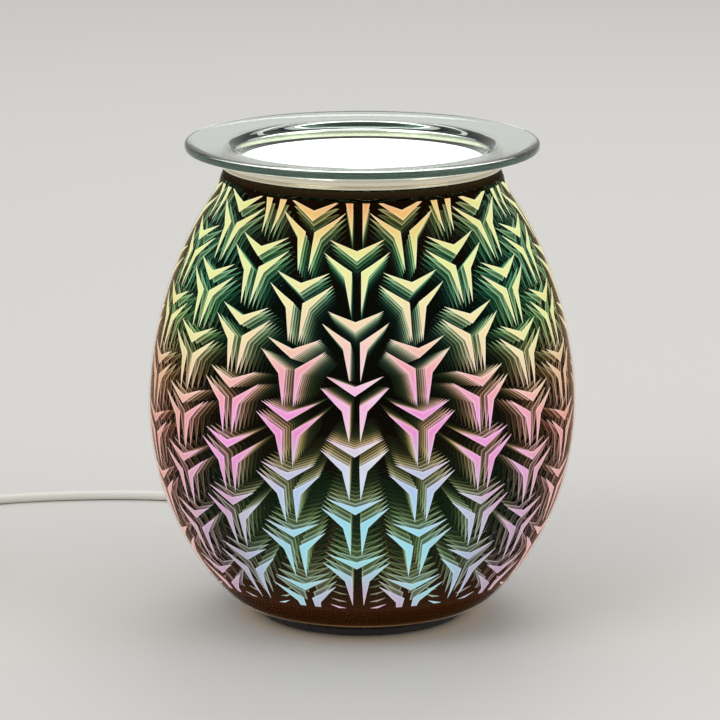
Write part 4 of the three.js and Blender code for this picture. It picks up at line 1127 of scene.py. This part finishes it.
def buildDish():
    bottom, floor, flange, top = (dish[k] for k in ("floorBottom", "floorTop", "flangeBottom",
                                                    "top"))
    corner, middle = dish["cornerRadius"], dish["floorMiddle"]
    rounding, steps = dish["rimRounding"], dish["rimSteps"]
    rim = dish["rimRadius"] - rounding
    lowerCorner = arc((dish["floorRadius"], bottom + corner), corner, *dish["cornerArc"])
    under = cornersFrom(0, flange, dish["underCorners"])
    rimArc = [*arc((rim, top - dish["rimWall"] + rounding), rounding, -90, 0, steps),
              *arc((rim, top - rounding), rounding, 0, 90, steps)]
    upper = [*cornersFrom(0, top, dish["brimCorners"]),
             *cornersFrom(0, flange, dish["slopeCorners"]),
             *cornersFrom(0, floor, dish["floorCorners"])]
    profile = [(0, bottom), (middle, bottom), *lowerCorner, *under, *rimArc, *upper,
               (middle, floor), (0, floor)]
    points, faces, bands = turned(profile, dish["segments"])
    frostEnd = 1 + len(lowerCorner)
    rimStart = frostEnd + len(under)
    edgeStart = rimStart + dish["edgeEnds"][0]
    edgeEnd = rimStart + len(rimArc) - dish["edgeEnds"][1]
    kinds = [2 if b < frostEnd else 1 if edgeStart <= b < edgeEnd else 0 for b in bands]
    materials = [newMaterial(name, sockets)[0] for name, sockets in dish["looks"].items()]
    newPiece("dishGlass", points, faces, "dish", materials, ["oil_dish"],
             dish["sharpAngle"], kinds)


# The CAD pieces that show as they are

def numbered(name, count):
    return [f"{name}_{i}" for i in range(1, count + 1)]


finishUsers = {
    "blackPlastic": ["base_pan", "base_cover", "retaining_ring", "cord_clamp", "dimmer_wheel"],
    "blackRubber": [*numbered("foot", 4), "cord_bush"],
    "plainSteel": [*numbered("cover_screw", 3), *numbered("clamp_screw", 2),
                   *numbered("bracket_screw", 2), *numbered("holder_screw", 2),
                   *numbered("dimmer_screw", 2), "lamp_bracket"],
    "plainBrass": [*numbered("lamp_pin", 2), "plug_pin_earth"],
    "whitePlastic": ["terminal_block", "dimmer_inlet_relief", "dimmer_outlet_relief",
                     "dimmer_lower_shell", "dimmer_upper_shell", "plug_relief", "plug_body",
                     "fuse_carrier"],
    "whiteFlex": ["inner_cord", *numbered("holder_lead", 2)],
    "whiteCeramic": ["lamp_holder", "lamp_base", "plug_fuse"],
    "darkSeal": ["collar_gasket", "shade_gasket"],
    "greenBoard": ["dimmer_board"],
    "lampReflector": ["lamp_reflector"],
    "lampGlass": ["lamp_front_glass", "lamp_capsule"],
    "sleevedBrass": ["plug_pin_live", "plug_pin_neutral"],
}
lampGlass = {"Base Color": (0.98, 0.97, 0.94, 1), "Roughness": 0.05,
             "Emission Color": (1, 0.93, 0.8, 1), "Emission Strength": 1.5}
sleeve = {
    "top": 30,
    "colour": (20, 20, 21),
    "roughness": 0.48,
}


def dressCadPieces(finishes):
    finishes = {**finishes, "lampGlass": newMaterial("lampGlass", lampGlass)[0],
                "sleevedBrass": sleevedBrass(finishes["plainBrass"])}
    for key, names in finishUsers.items():
        for name in names:
            materials = nodes[name].data.materials
            materials.clear()
            materials.append(finishes[key])


# Flat pins are sleeved in black plastic from the plug's face to the middle of their length
def sleevedBrass(brass):
    material = brass.copy()
    material.name = "sleevedBrass"
    tree = material.node_tree
    inputs = tree.nodes["Principled BSDF"].inputs
    metal, roughness = [inputs[n].links[0].from_socket for n in ("Base Color", "Roughness")]
    bare = maths(tree, "GREATER_THAN", objectAxes(tree)[2], sleeve["top"] * mm)
    tree.links.new(mixColours(tree, bare, colour(*sleeve["colour"]), metal), inputs["Base Color"])
    tree.links.new(bare, inputs["Metallic"])
    dull = times(tree, minus(tree, 1, bare), sleeve["roughness"])
    tree.links.new(maths(tree, "MAXIMUM", roughness, dull), inputs["Roughness"])
    return material


# Studio

studio = {
    "floor": {"Base Color": colour(206, 204, 200), "Roughness": 0.55, "Specular IOR Level": 0.2},
    "floorReach": 6,
    "backdrop": (0.60, 0.595, 0.585, 1),
    "fill": (0.8, 0.8, 0.8, 1),
    "aimedAt": (0, 0, 0.08),
    "lights": {
        "keyLight": ((-0.9, -0.9, 1.3), (0.9, 0.9), 8),
        "fillLight": ((1.1, -0.6, 0.9), (0.8, 0.8), 3.5),
        "backLight": ((0.2, 1.1, 1.2), (1.0, 0.5), 4.5),
    },
}


def buildStudio():
    reach = studio["floorReach"]
    mesh = bpy.data.meshes.new("floor")
    mesh.from_pydata([(-reach, -reach, 0), (reach, -reach, 0), (reach, reach, 0),
                      (-reach, reach, 0)], [], [(0, 1, 2, 3)])
    mesh.materials.append(newMaterial("floor", studio["floor"])[0])
    floor = newObject("floor", mesh)
    world = bpy.data.worlds.new("studio")
    bpy.context.scene.world = world
    world.use_nodes = True
    tree = world.node_tree
    background = tree.nodes["Background"]
    rays = tree.nodes.new("ShaderNodeLightPath").outputs
    seen = maths(tree, "MAXIMUM", rays["Is Camera Ray"], rays["Is Glossy Ray"])
    seen = maths(tree, "MAXIMUM", seen, rays["Is Transmission Ray"])
    tree.links.new(mixColours(tree, seen, studio["fill"], studio["backdrop"]),
                   background.inputs["Color"])
    background.inputs["Strength"].default_value = 1
    for name, (place, size, power) in studio["lights"].items():
        data = bpy.data.lights.new(name, "AREA")
        data.shape = "RECTANGLE"
        data.size, data.size_y = size
        data.energy = power
        aim(newObject(name, data), place, studio["aimedAt"])
    bpy.context.scene.view_settings.view_transform = "Standard"


buildCamera()
finishes = buildFinishes()
buildFlex(finishes)
print("camera and flex in place")
shadeFinishes = shadeMaterials()
buildShadeGlass(shadeFinishes["glass"])
buildPattern(shadeFinishes["stars"], shadeFinishes["images"], shadeFinishes["backs"])
buildMirrorCoat([shadeFinishes["film"], shadeFinishes["coat"], shadeFinishes["border"]])
buildPaintedDarkSheet([shadeFinishes["depth"], shadeFinishes["backs"]])
print("glass shade built")
buildCollar(finishes)
buildDish()
print("ring and dish built")
dressCadPieces(finishes)
print("fixed pieces dressed")
buildStudio()
print("studio set")
